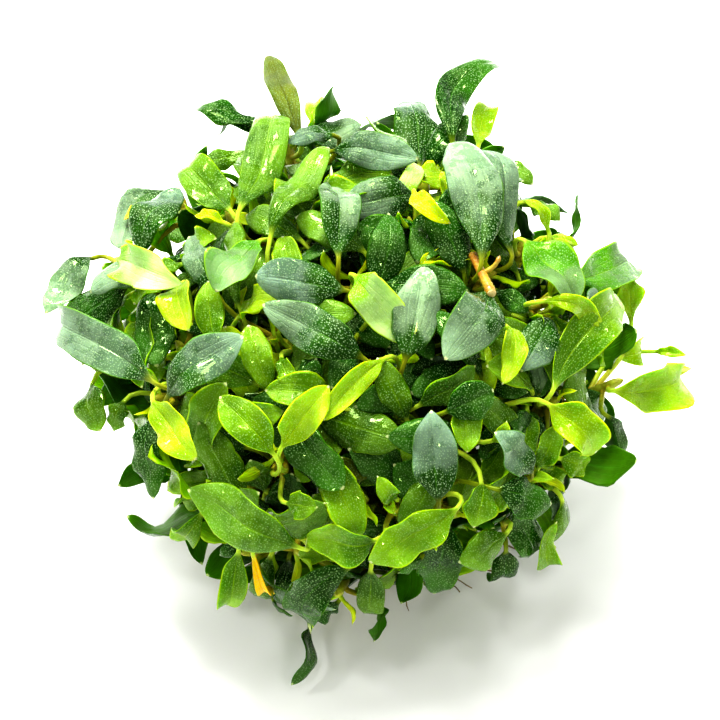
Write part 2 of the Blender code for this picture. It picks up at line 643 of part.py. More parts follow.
def fuse(body, others):
    """Grow the other objects in one with the body, and remove them.

    Where thin leaves that cross at a slight angle leave pinched edges in the exact union, the manifold one
    takes its place.
    """
    group = bpy.data.collections.new(body.name)
    for other in others:
        group.objects.link(other)
    union = body.modifiers.new("union", "BOOLEAN")
    union.operation = "UNION"
    union.operand_type = "COLLECTION"
    union.collection = group
    for solver in ("EXACT", "MANIFOLD"):
        union.solver = solver
        graph = bpy.context.evaluated_depsgraph_get()
        joined = bpy.data.meshes.new_from_object(body.evaluated_get(graph))
        if outer_shell(joined):
            break
    body.modifiers.clear()
    body.data = joined
    for other in others:
        bpy.data.objects.remove(other)
    bpy.data.collections.remove(group)


def knot_radius(turn, rise):
    """Radius of the lumpy rhizome knot, as a share, at an angle round it and a share of its height."""
    lumps = math.sin(3.0 * turn + 0.6) + 0.7 * math.sin(5.0 * turn + 4.0 * rise) + 0.5 * math.sin(8.0 * turn)
    return 1.0 + KNOT_LUMP * lumps


def knot_mesh():
    """Corner points and faces of the rhizome knot: a lumpy dome with a flat underside."""
    points, faces = [], tube_faces(len(KNOT_RISES), KNOT_SIDES)
    for rise in KNOT_RISES:
        shrink = math.sqrt(1.0 - rise**KNOT_SHOULDER)
        for corner in range(KNOT_SIDES):
            turn = 2.0 * math.pi * corner / KNOT_SIDES
            radius = KNOT_RADIUS * shrink * knot_radius(turn, rise)
            points.append(Vector((radius * math.cos(turn), radius * math.sin(turn), KNOT_HEIGHT * rise)))
    last, top = (len(KNOT_RISES) - 1) * KNOT_SIDES, len(points)
    points.append(Vector((0.0, 0.0, KNOT_HEIGHT)))
    faces += [(last + corner, last + (corner + 1) % KNOT_SIDES, top) for corner in range(KNOT_SIDES)]
    return points, faces


def root_twig(number):
    """One root, which leaves the knot's side and comes down to lie near the surface that it stands on."""
    turn = 2.0 * math.pi * number / ROOT_COUNT + 0.5 * math.sin(2.4 * number)
    way = Vector((math.cos(turn), math.sin(turn), 0.0))
    sweep = Vector((-way.y, way.x, 0.0)) * ROOT_SWEEP * math.sin(1.7 * number)
    start = way * KNOT_RADIUS * ROOT_START + Vector((0.0, 0.0, ROOT_HEIGHTS[0]))
    reach = ROOT_REACH * (ROOT_REACHES[0] + ROOT_REACHES[1] * math.sin(3.1 * number + 1.0))
    pull = way * reach * ROOT_PULL + Vector((0.0, 0.0, ROOT_HEIGHTS[1]))
    end = way * reach + sweep + Vector((0.0, 0.0, ROOT_HEIGHTS[2]))
    return Twig(start, pull, end, ROOT_RADIUS * ROOT_TAPER[0], ROOT_RADIUS * ROOT_TAPER[1])


def on_knot(towards):
    """A place just off the knot's surface, on the way towards a point."""
    way = (towards - KNOT_MIDDLE).normalized()
    if way.z < LEAST_RISE:
        way = Vector((way.x, way.y, LEAST_RISE)).normalized()
    surface, normal = BVHTree.FromPolygons(*knot_mesh()).ray_cast(KNOT_MIDDLE, way)[:2]
    square_on = abs(normal.dot(way))
    rise = SHOOT_RADIUS * math.sqrt(1.0 - square_on**2) / square_on
    return surface + way * (GAP + rise), way


def growing_points(shoot):
    """The growing points of a shoot in space, those on the layout plane first."""
    points = [on_layout(x, y, -POINT_SINK - sink * MM) for x, y, sink in shoot.seen]
    for azimuth, elevation in shoot.hidden:
        turn, rise = math.radians(azimuth), math.radians(elevation)
        flat = math.cos(rise) * (BODY_RADIUS - POINT_SINK)
        high = math.sin(rise) * (BODY_HALF_HEIGHT - POINT_SINK * HIGH_SINK)
        points.append(BODY_MIDDLE + Vector((flat * math.cos(turn), flat * math.sin(turn), high)))
    return points


def shoot_twigs(points):
    """Trunk and twigs of one shoot: it leaves the knot, and forks towards its growing points."""
    middle = sum(points, Vector()) / len(points)
    start, way = on_knot(Vector((middle.x, middle.y, middle.z * START_DIP)))
    fork = start.lerp(middle, FORK_SHARE)
    trunk = Twig(start, start + way * (fork - start).length * TRUNK_PULL, fork, SHOOT_RADIUS, TWIG_RADIUS)
    twigs = []
    for number, point in enumerate(points):
        root, along = trunk.at(1.0 - FORK_STAGGER * (number + 1))
        reach = point - root
        pull = root + (along * TRUNK_LEAN + reach.normalized()).normalized() * reach.length * TWIG_BOW
        radius = TWIG_RADIUS * (1.0 - TWIG_THINNER * number)
        twigs.append(Twig(root, pull, point, radius, radius * TWIG_TAPER))
    return trunk, twigs


def clear_twigs(points, placed):
    """The twigs of a shoot, turned round the knot by as little as keeps its wood clear of what is placed."""
    for step in range(MOST_TURNS):
        angle = SHOOT_TURN * ((step + 1) // 2) * (1.0 if step % 2 else -1.0)
        turned = [Matrix.Rotation(angle, 3, "Z") @ point for point in points]
        trunk, twigs = shoot_twigs(turned)
        room = [trunk.mesh(TRUNK_SEGMENTS, GAP)] + [twig.mesh(swell=GAP) for twig in twigs]
        wood = [trunk.mesh(TRUNK_SEGMENTS)] + [twig.mesh() for twig in twigs]
        clear = True
        for other in placed:
            solids = wood if other.owner == KNOT else room
            clear = clear and not any(other.meets(*box_of(solid[0]), tree_of(solid)) for solid in solids)
        if clear:
            return trunk, twigs
    raise RuntimeError("a shoot finds no room between the others")


def nearest_tip(blade, tips):
    """The growing point that suits a leaf best: near its base, behind it, and not too crowded."""
    axis = (blade.tip - blade.base).normalized()

    def cost(tip):
        reach = tip.twig.end - blade.base
        return reach.length + WRONG_SIDE * max(reach.dot(axis), 0.0) + CROWDING * tip.twig.leaves

    return min(tips, key=cost)


def clear_scene():
    """Remove every object."""
    for thing in list(bpy.data.objects):
        bpy.data.objects.remove(thing)


def build_knot():
    """The rhizome knot with its roots, and the room that it takes."""
    roots = [root_twig(number).mesh() for number in range(ROOT_COUNT)]
    knot = mesh_object(KNOT, *knot_mesh(), RHIZOME_COLOUR, WOOD_ROUGHNESS)
    fuse(knot, [mesh_object("root", *root, RHIZOME_COLOUR, WOOD_ROUGHNESS) for root in roots])
    return [Placed(KNOT, *solid) for solid in [knot_mesh(), *roots]]


def leaf_jobs(tips):
    """Every leaf in the order in which it is laid: its blade, its own name if it has one, and its places."""
    seen = [tip for tip in tips if tip.seen]
    jobs = [(blade_of(leaf, k, True), f"leaf_{k + 1:02d}", seen) for k, leaf in enumerate(LARGE_LEAVES)]
    jobs += [(blade_of(leaf, k, False), None, seen) for k, leaf in enumerate(SMALL_LEAVES)]
    jobs.sort(key=lambda job: job[0].order)
    for tip in tips:
        if not tip.seen:
            outward = body_normal(tip.twig.end)
            jobs += [(hidden_blade(tip.twig.end, outward, k), None, [tip]) for k in range(HIDDEN_LEAVES)]
    return jobs


def build():
    """Model the whole clump."""
    clear_scene()
    placed, tips, trunks, grown = build_knot(), [], {}, {}
    for number, shoot in enumerate(SHOOTS, 1):
        name = f"shoot_{number:02d}"
        trunk, twigs = clear_twigs(growing_points(shoot), placed)
        trunks[name], grown[name] = trunk.mesh(TRUNK_SEGMENTS), [twig.mesh() for twig in twigs]
        placed += [Placed(f"{name}_wood", *solid) for solid in [trunks[name], *grown[name]]]
        tips += [Tip(name, twig, k < len(shoot.seen)) for k, twig in enumerate(twigs)]
    ways = ways_out()
    for blade, name, places in leaf_jobs(tips):
        tip = nearest_tip(blade, places)
        form = settle(blade, tip, placed, ways)
        if form is None:
            continue
        tip.twig.leaves += 1
        leaf = form.mesh()
        if name:
            mesh_object(name, *leaf, TONE_COLOURS[blade.tone], LEAF_ROUGHNESS)
            placed.append(Placed(name, *leaf))
        else:
            placed.append(Placed(tip.shoot, *leaf))
            grown[tip.shoot].append(leaf)
    for name, trunk in trunks.items():
        shoot = mesh_object(name, *trunk, STEM_COLOUR, WOOD_ROUGHNESS)
        fuse(shoot, [mesh_object("growth", *solid, STEM_COLOUR, WOOD_ROUGHNESS) for solid in grown[name]])


build()
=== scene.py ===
"""The bucephalandra clump, dressed: every leaf, petiole, stem and root of the plant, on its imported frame.

The leaves are laid by the same rule as the frame's own solids, so each one stands where its solid is. The
foliage between them grows from the same twigs. Lengths are in metres, and the leaf tables are in millimetres.
"""

import logging
import math
import random
from collections.abc import Callable
from dataclasses import dataclass, field
from enum import Enum

import bpy
import numpy as np
from mathutils import Matrix, Quaternion, Vector, noise
from mathutils.bvhtree import BVHTree


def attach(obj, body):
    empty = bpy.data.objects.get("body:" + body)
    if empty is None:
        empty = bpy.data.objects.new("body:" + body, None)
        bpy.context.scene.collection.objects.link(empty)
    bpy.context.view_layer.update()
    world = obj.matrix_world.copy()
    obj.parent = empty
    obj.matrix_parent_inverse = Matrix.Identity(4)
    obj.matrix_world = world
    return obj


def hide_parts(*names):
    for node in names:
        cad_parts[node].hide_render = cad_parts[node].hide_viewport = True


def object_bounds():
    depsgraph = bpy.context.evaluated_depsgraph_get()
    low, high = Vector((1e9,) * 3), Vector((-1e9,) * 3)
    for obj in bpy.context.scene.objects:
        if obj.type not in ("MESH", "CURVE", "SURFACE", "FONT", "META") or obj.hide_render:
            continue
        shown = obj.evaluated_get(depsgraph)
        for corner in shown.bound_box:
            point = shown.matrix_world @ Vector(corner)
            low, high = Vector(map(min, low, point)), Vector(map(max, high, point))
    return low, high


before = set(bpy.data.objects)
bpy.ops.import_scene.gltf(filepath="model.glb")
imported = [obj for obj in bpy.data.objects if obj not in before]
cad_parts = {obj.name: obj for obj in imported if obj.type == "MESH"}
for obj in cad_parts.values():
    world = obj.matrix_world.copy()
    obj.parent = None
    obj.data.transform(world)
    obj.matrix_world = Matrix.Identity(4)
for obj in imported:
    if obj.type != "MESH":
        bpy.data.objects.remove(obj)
CAD_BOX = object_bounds()

MM = 0.001
TURN = 2.0 * math.pi
GOLDEN_ANGLE = math.radians(137.5)
log = logging.getLogger("bucephalandra")


class Tone(Enum):
    """The leaf colours of the plant, from mature to newest, and those of dying leaves."""

    DARK = "dark"
    SHEEN = "sheen"
    GREEN = "green"
    BRIGHT = "bright"
    LIME = "lime"
    YELLOW = "yellow"
    YOLK = "yolk"
    ORANGE = "orange"
    OLIVE = "olive"
    PEARLY = "pearly"
    PALE = "pale"


DARK, SHEEN, GREEN, BRIGHT, LIME, YELLOW, YOLK, ORANGE, OLIVE, PEARLY, PALE = Tone
YOUNG_TONES = (LIME, YELLOW, BRIGHT)


@dataclass(frozen=True)
class Leaf:
    """A leaf on the layout plane: blade base, blade tip and width in mm, and how deep its layer is."""

    base_x: float
    base_y: float
    tip_x: float
    tip_y: float
    width: float
    layer: float
    tone: Tone
    bend: float = 0.0


@dataclass(frozen=True)
class Shoot:
    """A forked shoot's growing points: those on the layout plane, and those that it doesn't show."""

    seen: tuple = ()
    hidden: tuple = ()


def leaves(*rows: tuple) -> tuple:
    """Leaves from rows of base x and y, tip x and y, width, layer, tone and, where it has one, bend."""
    return tuple(Leaf(*row) for row in rows)


# The large outer leaves, each a piece of its own
LARGE_LEAVES = leaves(
    (-18, 20, -24, 26, 5.5, 0, GREEN), (-17, 20, -12.5, 33, 6, 0, GREEN, 0.05),
    (-12.5, 16.5, -4.5, 29, 5, 0.2, GREEN), (-3, 13.5, -4, 26.5, 6, 0, SHEEN),
    (17, 13, 12.5, 29.5, 7.5, 0, SHEEN, 0.06), (23, 16, 30, 7.5, 7.5, 0.1, PEARLY),
    (25.5, 7.5, 34, 4, 3, 0, LIME, -0.12), (-37.5, 13.5, -44, 6, 5.5, 0.2, SHEEN),
    (-34, 13.5, -25, 10, 6, 0, PALE), (-29.5, -5, -42.5, 3, 6.5, 0.2, SHEEN, 0.04),
    (-27, -6, -16.5, 2.5, 6.5, 0, SHEEN), (-14, 16, -20, 9, 6.5, 0.3, PEARLY),
    (-2, 9, -14.5, 11, 6.5, 0, SHEEN), (0.5, -0.5, -13.5, 7, 6.5, 0, SHEEN), (-1.5, 10, 7, 4, 6, 0, PALE),
    (18.5, 9, 12, -0.5, 7.5, 0, SHEEN), (12, -8, 18.5, -5, 5.5, 0.2, DARK),
    (-11, -13, -4.5, -4.5, 5, 0, LIME), (3.5, -0.5, -5, -9, 3.5, 0.2, LIME, 0.05),
    (-12, -14, -19.5, -6, 5.5, 0, BRIGHT), (11, -20.5, 10, -8, 6.5, 0, SHEEN),
    (14.5, -6.5, 15, -13.5, 4.5, 0.3, BRIGHT), (13.5, -21.5, 1.5, -29.5, 6, 0, BRIGHT),
    (2, -26, -7.5, -27.5, 6, 0.2, BRIGHT), (-8.5, -27, -24, -19, 7.5, 0, GREEN),
    (-29, -6.5, -23, -14.5, 5, 0, LIME), (26.5, -7, 33, -13.5, 6, 0, LIME),
    (24, -16.5, 19, -11, 5.5, 0.1, SHEEN), (19.5, -17.5, 27, -19.5, 6, 0.3, DARK),
    (-1, -29.5, -7, -39, 6, 0.4, DARK, 0.2), (13, 29, 19.5, 40.5, 5, 1, DARK, -0.18),
    (35.5, -5, 46.5, -2, 6.5, 1, LIME, 0.1), (22.5, 14.5, 16, 30, 5, 0.6, SHEEN),
    (27, -5, 36.5, 7.5, 6.5, 0.6, BRIGHT, -0.08), (-9.5, 29.5, -14, 41.5, 4, 1, OLIVE),
    (5, -0.5, 7.5, 12.5, 6.5, 0.6, SHEEN), (7.5, 22.5, -2.5, 20.5, 6.5, 0.6, SHEEN),
    (-4, 28.5, 8, 27.5, 5.5, 1, SHEEN), (29.5, 10, 37.5, 12.5, 6.5, 0.8, PEARLY),
)

# The other leaves that show, which grow in one with their shoots
SMALL_LEAVES = leaves(
    (20.5, 4, 20, -4, 3.5, 0.2, LIME, -0.12), (-13.5, 32.5, -23, 34.5, 4, 1, DARK, -0.06),
    (-8.5, 30, 0, 32.5, 6, 1, SHEEN, 0.06), (-26.5, 23, -33.5, 15, 6.5, 1.8, SHEEN, 0.18),
    (-31, 13.5, -25.5, 23.5, 7, 0.9, SHEEN), (-33, 11, -42.5, 3, 7.5, 0.8, DARK),
    (-25, 10, -24, 3.5, 5.5, 0.5, LIME), (-29, 8.5, -28.5, -1.5, 6, 1.6, DARK),
    (-20, 8.5, -24, 16.5, 5, 0.9, SHEEN), (7.5, -5.5, 12, -0.5, 5.5, 0.9, SHEEN),
    (16.5, -8, 16.5, 2, 4.5, 0.9, LIME), (25.5, 5.5, 21.5, -1.5, 6, 0.8, SHEEN),
    (-8.5, -13.5, 2.5, -10, 6, 0.7, SHEEN), (8, -12, 1.5, -8.5, 6, 0.9, BRIGHT),
    (16, -13, 12, -21.5, 5, 0.7, BRIGHT), (17, -18, 16, -24, 5, 0.2, BRIGHT),
    (-29, -8.5, -29, -20, 5.5, 0.9, DARK), (-37.5, -4, -36.5, -10.5, 5.5, 1.2, GREEN),
    (-10, -19.5, -6, -20, 4, 0.3, BRIGHT), (-2, -23, -5.5, -19, 5, 1, BRIGHT),
    (25, -16, 27.5, -10, 3.5, 0.4, BRIGHT), (20.5, -25, 14, -29, 5.5, 0.5, GREEN),
    (12, -22.5, 10.5, -33.5, 6.5, 1, DARK), (-17, -27.5, -18.5, -35, 4, 0.4, BRIGHT),
    (17, 12.5, 8.5, 12.5, 3, 0.1, YELLOW, 0.1), (7.5, 23, 12.5, 18.5, 3, 0.3, YELLOW, 0.15),
    (5.5, 21.5, 8.5, 26.5, 3, 0.4, PALE), (-19, 18.5, -23, 19.5, 1.5, 0.3, YELLOW),
    (-13.5, 16.5, -19, 19, 1.5, 0.3, YELLOW), (26.5, -10, 21.5, -8, 5, 1, DARK),
    (10, -21.5, 4, -16.5, 6, 1, DARK), (4, -21, 1.5, -18, 3, 0.9, BRIGHT),
    (5, -22.5, -0.5, -23, 3.5, 1.8, DARK), (-16, -13, -22, -11, 3.5, 1, DARK),
    (-11, -14.5, -15, -18.5, 5, 1, DARK), (25, -16, 28.5, -18, 3.5, 0.9, BRIGHT),
    (20.5, -22, 22.5, -28.5, 5, 1, DARK), (27, -27.5, 27.5, -23.5, 3.5, 0.7, BRIGHT, -0.3),
    (-4, -31.5, -8.5, -33, 4, 1, DARK), (-15, -28, -12, -33.5, 1.5, 0.8, ORANGE),
    (-7, -38, -9.5, -46, 4.2, 3.9, DARK, 0.05), (-3.5, 29.5, -10, 28.5, 3, 1.3, SHEEN),
    (26.5, 17, 23, 21.5, 2, 1, LIME, 0.1), (18.5, -12, 20.5, -9.5, 2, 1, LIME, 0.1),
    (0, -1.5, -5.5, -4, 2.5, 1, GREEN), (-11, -0.5, -9, -5, 2.5, 1, BRIGHT),
    (-17, 5, -16, 9.5, 1.5, 1, YELLOW), (34.5, -8.5, 36, -15, 2, 1, DARK, -0.15),
    (-13.5, 31, -20, 31, 2.5, 2, DARK), (-15.5, 28.5, -23, 26, 3, 2, GREEN),
    (-29.5, 20.5, -33, 19, 1.5, 1.5, YOLK), (-12, 17, -7.5, 20, 2, 2, YELLOW),
    (16.5, 29, 17.5, 34.5, 3.5, 2, LIME), (19.5, 26.5, 24, 24, 4, 2, GREEN), (10.5, 19.5, 8, 13, 6, 2, DARK),
    (23.5, 21.5, 28, 19, 3, 1.8, GREEN), (26.5, 16.5, 30.5, 15.5, 1.5, 1.8, LIME),
    (38, 4.5, 36.5, 11.5, 4, 1.8, LIME), (36, -0.5, 39.5, 2, 3.5, 1.8, LIME),
    (-33, -6.5, -34.5, -10.5, 3.5, 2, GREEN), (-25.5, 0.5, -21.5, 3.5, 3.5, 1.8, LIME),
    (-18.5, -17.5, -26, -18, 3.5, 1.8, BRIGHT), (-22, -22, -26, -26, 4, 1.8, BRIGHT),
    (-14.5, -19.5, -16.5, -15.5, 5, 2, GREEN), (-7.5, -21, -7.5, -26, 4.5, 1.3, DARK),
    (0, -19, -7.5, -17, 5, 2, DARK), (-0.5, -18.5, -2.5, -14.5, 3.5, 1.8, OLIVE),
    (1.5, -20.5, 2, -11, 5, 2, DARK), (20.5, -27.5, 19, -31, 4.5, 1.8, DARK),
    (28, -14.5, 32, -15, 4, 1.8, BRIGHT), (28, -19, 27, -23, 3, 1.8, SHEEN),
    (-12.5, -28, -13.5, -34, 3.5, 1.8, GREEN), (-10, -28.5, -10.5, -34.5, 3, 1.8, DARK),
    (-3, -34.5, -7.5, -37, 4, 1.8, DARK), (1.5, -30, 2, -35.5, 4, 1.8, GREEN),
    (2.5, -35, 2, -40, 3.5, 1.8, DARK), (-11.5, -12, -14.5, -5, 3.5, 1.8, GREEN),
    (-0.5, -4, 5.5, -7, 5, 1.8, DARK),
)

# Leaves of the photograph's deeper layers, which the frame has no solids for
INNER_LEAVES = leaves(
    (-6.5, 32, -5.5, 35.5, 2.5, 2, LIME), (12, 21.5, 11.5, 25.5, 2, 2, LIME),
    (41.5, 0.5, 45.5, 0, 1.5, 2, LIME), (-33.5, 7.5, -33, -0.5, 3, 2.6, LIME),
    (11, 6.5, 14.5, 10.5, 5, 2.6, DARK), (-16, -6.5, -24, -6.5, 5.5, 2.6, DARK),
    (-17, -26.5, -19.5, -28, 2, 1.8, DARK), (-12, -34.5, -9.5, -36.5, 2, 1.8, DARK),
    (-11, 0, -18, -3, 3.5, 2.6, YELLOW), (17, -5, 23, -6.5, 3, 1.8, DARK),
    (-15.5, 21.5, -19.5, 25, 4, 2.6, DARK), (28, 6.5, 32.5, 7, 3, 1.8, DARK), (1, 10.5, 1, 18, 3, 2, DARK),
    (2.5, 13, 4, 18, 2.5, 2, DARK), (19, 9, 23.5, 6, 3, 1.8, DARK), (18.5, -10.5, 17, -14.5, 3.5, 2, DARK),
    (8.5, -28.5, 5.5, -30.5, 2, 2, DARK), (-5.5, -0.5, -8.5, -4, 3, 1.8, DARK),
    (6.5, 4, 10, -0.5, 3.5, 1.8, DARK), (25, -5.5, 24.5, -0.5, 2.5, 1.8, SHEEN),
)

# The shoots: growing points on the layout plane (x, y and extra depth in mm), and those on the far side
# and underneath (azimuth and elevation in degrees)
SHOOTS = (
    Shoot(((-18, 19, 0), (-13, 16, 1))),
    Shoot(((-33, 12, -4), (-25, 21.5, 1))),
    Shoot(((-28, -6, -1), (-25, 1, 3))),
    Shoot(((-11, -14, 0), (-16.5, -18.5, 2))),
    Shoot(((-8.5, -27.5, 0), (-15.5, -27.5, 2))),
    Shoot(((-3, -33, 1), (-7, -35, 9)), ((292, -34),)),
    Shoot(((-0.5, 10, 0), (-12, 2, 1))),
    Shoot(((3, -1, 0), (9, 5, 2.5))),
    Shoot(((16.5, -6, 0), (10, -11, 1))),
    Shoot(((13, -22, 0), (5, -21.5, 1.5), (-2, -21, 2))),
    Shoot(((24, -17, 0), (28, -16, 2), (21, -24.5, 1))),
    Shoot(((27, -6.5, 0), (35.5, -4, -3)), ((338, -28),)),
    Shoot(((18, 11, 0), (7, 18, 1))),
    Shoot(((26, 7.5, 0), (22.5, 15, 1))),
    Shoot(((-10, 28.5, 0),), ((116, 38),)),
    Shoot(((14, 28.5, 0),), ((66, 38),)),
    Shoot(hidden=((4, -20), (28, 4), (50, -18))),
    Shoot(hidden=((66, 14), (86, -10), (104, 18))),
    Shoot(hidden=((122, -20), (140, 6), (164, -14))),
    Shoot(hidden=((196, -34), (232, -42))),
)


@dataclass(frozen=True)
class Layout:
    """The rounded body that the outer leaves lie on, and the sloping plane that they are laid out on."""

    radius: float = 40.0 * MM
    half_height: float = 26.5 * MM
    middle: Vector = field(default_factory=lambda: Vector((0.0, 0.0, 31.0 * MM)))
    slope: float = math.radians(50.0)
    distance: float = 1.2
    layer_drop: float = 4.0 * MM
    base_sink: float = 2.2 * MM

    @property
    def right(self) -> Vector:
        """The plane's way to the right."""
        return Vector((1.0, 0.0, 0.0))

    @property
    def up(self) -> Vector:
        """The plane's way up its slope."""
        return Vector((0.0, math.sin(self.slope), math.cos(self.slope)))

    @property
    def out(self) -> Vector:
        """The plane's way out, towards the best side."""
        return Vector((0.0, -math.cos(self.slope), math.sin(self.slope)))

    def depth(self, across: float, up: float) -> float:
        """How far in front of the plane the body's surface is, or where the body is nearest past its edge.

        Args:
            across: Place to the right on the plane.
            up: Place up the plane's slope.

        Returns:
            The distance in front of the plane.
        """
        wide, high = self.radius**2, self.half_height**2
        sine, cosine = math.sin(self.slope), math.cos(self.slope)
        square = cosine**2 / wide + sine**2 / high
        linear = 2.0 * up * sine * cosine * (1.0 / high - 1.0 / wide)
        rest = (across**2 + (up * sine) ** 2) / wide + (up * cosine) ** 2 / high - 1.0
        inside = max(linear**2 - 4.0 * square * rest, 0.0)
        return (math.sqrt(inside) - linear) / (2.0 * square)

    def point(self, x: float, y: float, depth: float) -> Vector:
        """A point of the layout.

        Args:
            x: Place to the right, in mm.
            y: Place up the slope, in mm.
            depth: Height over the body's surface, in metres.

        Returns:
            The point in space.
        """
        across, up = x * MM, y * MM
        out = self.depth(across, up) + depth
        nearer = (self.distance - out) / self.distance
        return self.middle + (self.right * across + self.up * up) * nearer + self.out * out

    def shown(self, point: Vector) -> tuple:
        """Where a point in space shows on the plane, across and up, in mm."""
        local = point - self.middle
        nearer = (self.distance - local.dot(self.out)) / self.distance
        return local.dot(self.right) / nearer / MM, local.dot(self.up) / nearer / MM

    def normal(self, point: Vector) -> Vector:
        """The body's outward direction at a point near its surface."""
        local = point - self.middle
        wide, high = self.radius**2, self.half_height**2
        return Vector((local.x / wide, local.y / wide, local.z / high)).normalized()

    def on_body(self, way: Vector, share: float) -> Vector:
        """The point at a share of the way from the body's middle to its surface."""
        flat = self.radius * share
        return self.middle + Vector((way.x * flat, way.y * flat, way.z * self.half_height * share))


LAYOUT = Layout()


def between(first: float, last: float, share: float) -> float:
    """The value at a share of the way between two others."""
    return first + (last - first) * share


def around(way: Vector, turn: float) -> Vector:
    """A direction square to another one, at an angle round it."""
    return Quaternion(way, turn) @ way.orthogonal().normalized()


def curve_at(start: Vector, pull: Vector, end: Vector, share: float) -> tuple:
    """Point and direction at a share of a curve, which a third point pulls aside."""
    back = 1.0 - share
    point = start * back**2 + pull * 2.0 * back * share + end * share**2
    along = (pull - start) * back + (end - pull) * share
    return point, along.normalized()


def pointed_tube(rings: list, end: Vector) -> tuple:
    """Corner points and faces of a tube through rings of points, with a flat start and a pointed end."""
    corners = len(rings[0])
    last = (len(rings) - 1) * corners
    faces = [tuple(range(corners))[::-1]]
    for first in range(0, last, corners):
        for corner in range(corners):
            near, far = first + corner, first + (corner + 1) % corners
            faces += [(near, far, far + corners), (near, far + corners, near + corners)]
    faces += [(last + corner, last + (corner + 1) % corners, last + corners) for corner in range(corners)]
    return [point for ring in rings for point in ring] + [end], faces


@dataclass
class Blade:
    """A leaf in space: where its blade runs, which way it faces, and which way it may be slid."""

    base: Vector
    tip: Vector
    out: Vector
    lift: Vector
    width: float
    tone: Tone
    bend: float = 0.0
    layer: float = 0.0
    large: bool = False


@dataclass(frozen=True)
class LeafRule:
    """The sizes that every leaf's solid shares, and those of the whorls that the layout doesn't show."""

    thickness: float = 0.55 * MM
    keel: float = 1.4
    cup: float = 0.10
    arch: float = 0.12
    petiole_radius: float = 0.42 * MM
    blade_pull: float = 0.4
    foot_pull: float = 0.35
    widest_at: float = 1.12
    fullness: float = 0.72
    end_from: float = 0.98
    roll: float = math.radians(14.0)
    large_stations: tuple = (0.14, 0.4, 0.68, 0.9)
    small_stations: tuple = (0.28, 0.72)
    large_feet: tuple = (0.5, 1.0)
    small_feet: tuple = (1.0,)
    hidden_leaves: int = 4
    hidden_length: float = 13.0 * MM
    hidden_width: float = 5.8 * MM
    hidden_tones: tuple = (DARK, GREEN, DARK, SHEEN)
    hidden_spread: tuple = (math.radians(38.0), math.radians(66.0))
    hidden_stalk: tuple = (2.5 * MM, 4.5 * MM)
    youngest: float = 0.8
    longer: float = 0.35
    wider: float = 0.3

    def laid(self, leaf: Leaf, index: int, large: bool) -> Blade:
        """The blade that a row of the leaf table stands for.

        Args:
            leaf: The row.
            index: Its place in its table, which sets how it is rolled.
            large: Whether it is a piece of its own.

        Returns:
            The blade in space.
        """
        sink = -LAYOUT.layer_drop * leaf.layer
        base = LAYOUT.point(leaf.base_x, leaf.base_y, sink - LAYOUT.base_sink)
        tip = LAYOUT.point(leaf.tip_x, leaf.tip_y, sink)
        axis = (tip - base).normalized()
        facing = (LAYOUT.normal((base + tip) / 2.0) + LAYOUT.out).normalized()
        facing = Quaternion(axis, self.roll * math.sin(GOLDEN_ANGLE * index)) @ facing
        return Blade(base, tip, facing, LAYOUT.out, leaf.width * MM, leaf.tone, leaf.bend, leaf.layer, large)

    def hidden(self, point: Vector, outward: Vector, number: int) -> Blade:
        """One leaf of the whorl round a growing point that the layout doesn't show.

        Args:
            point: The growing point.
            outward: The body's outward direction there.
            number: Which leaf of the whorl.

        Returns:
            The blade in space.
        """
        level = number / (self.hidden_leaves - 1)
        spread = between(*self.hidden_spread, level)
        aside = around(outward, GOLDEN_ANGLE * number)
        axis = outward * math.cos(spread) + aside * math.sin(spread)
        length = self.hidden_length * (self.youngest + self.longer * level)
        base = point + axis * between(*self.hidden_stalk, level)
        facing = (outward * math.sin(spread) - aside * math.cos(spread)).normalized()
        width = self.hidden_width * (self.youngest + self.wider * level)
        return Blade(base, base + axis * length, facing, outward, width, self.hidden_tones[number])


RULE = LeafRule()


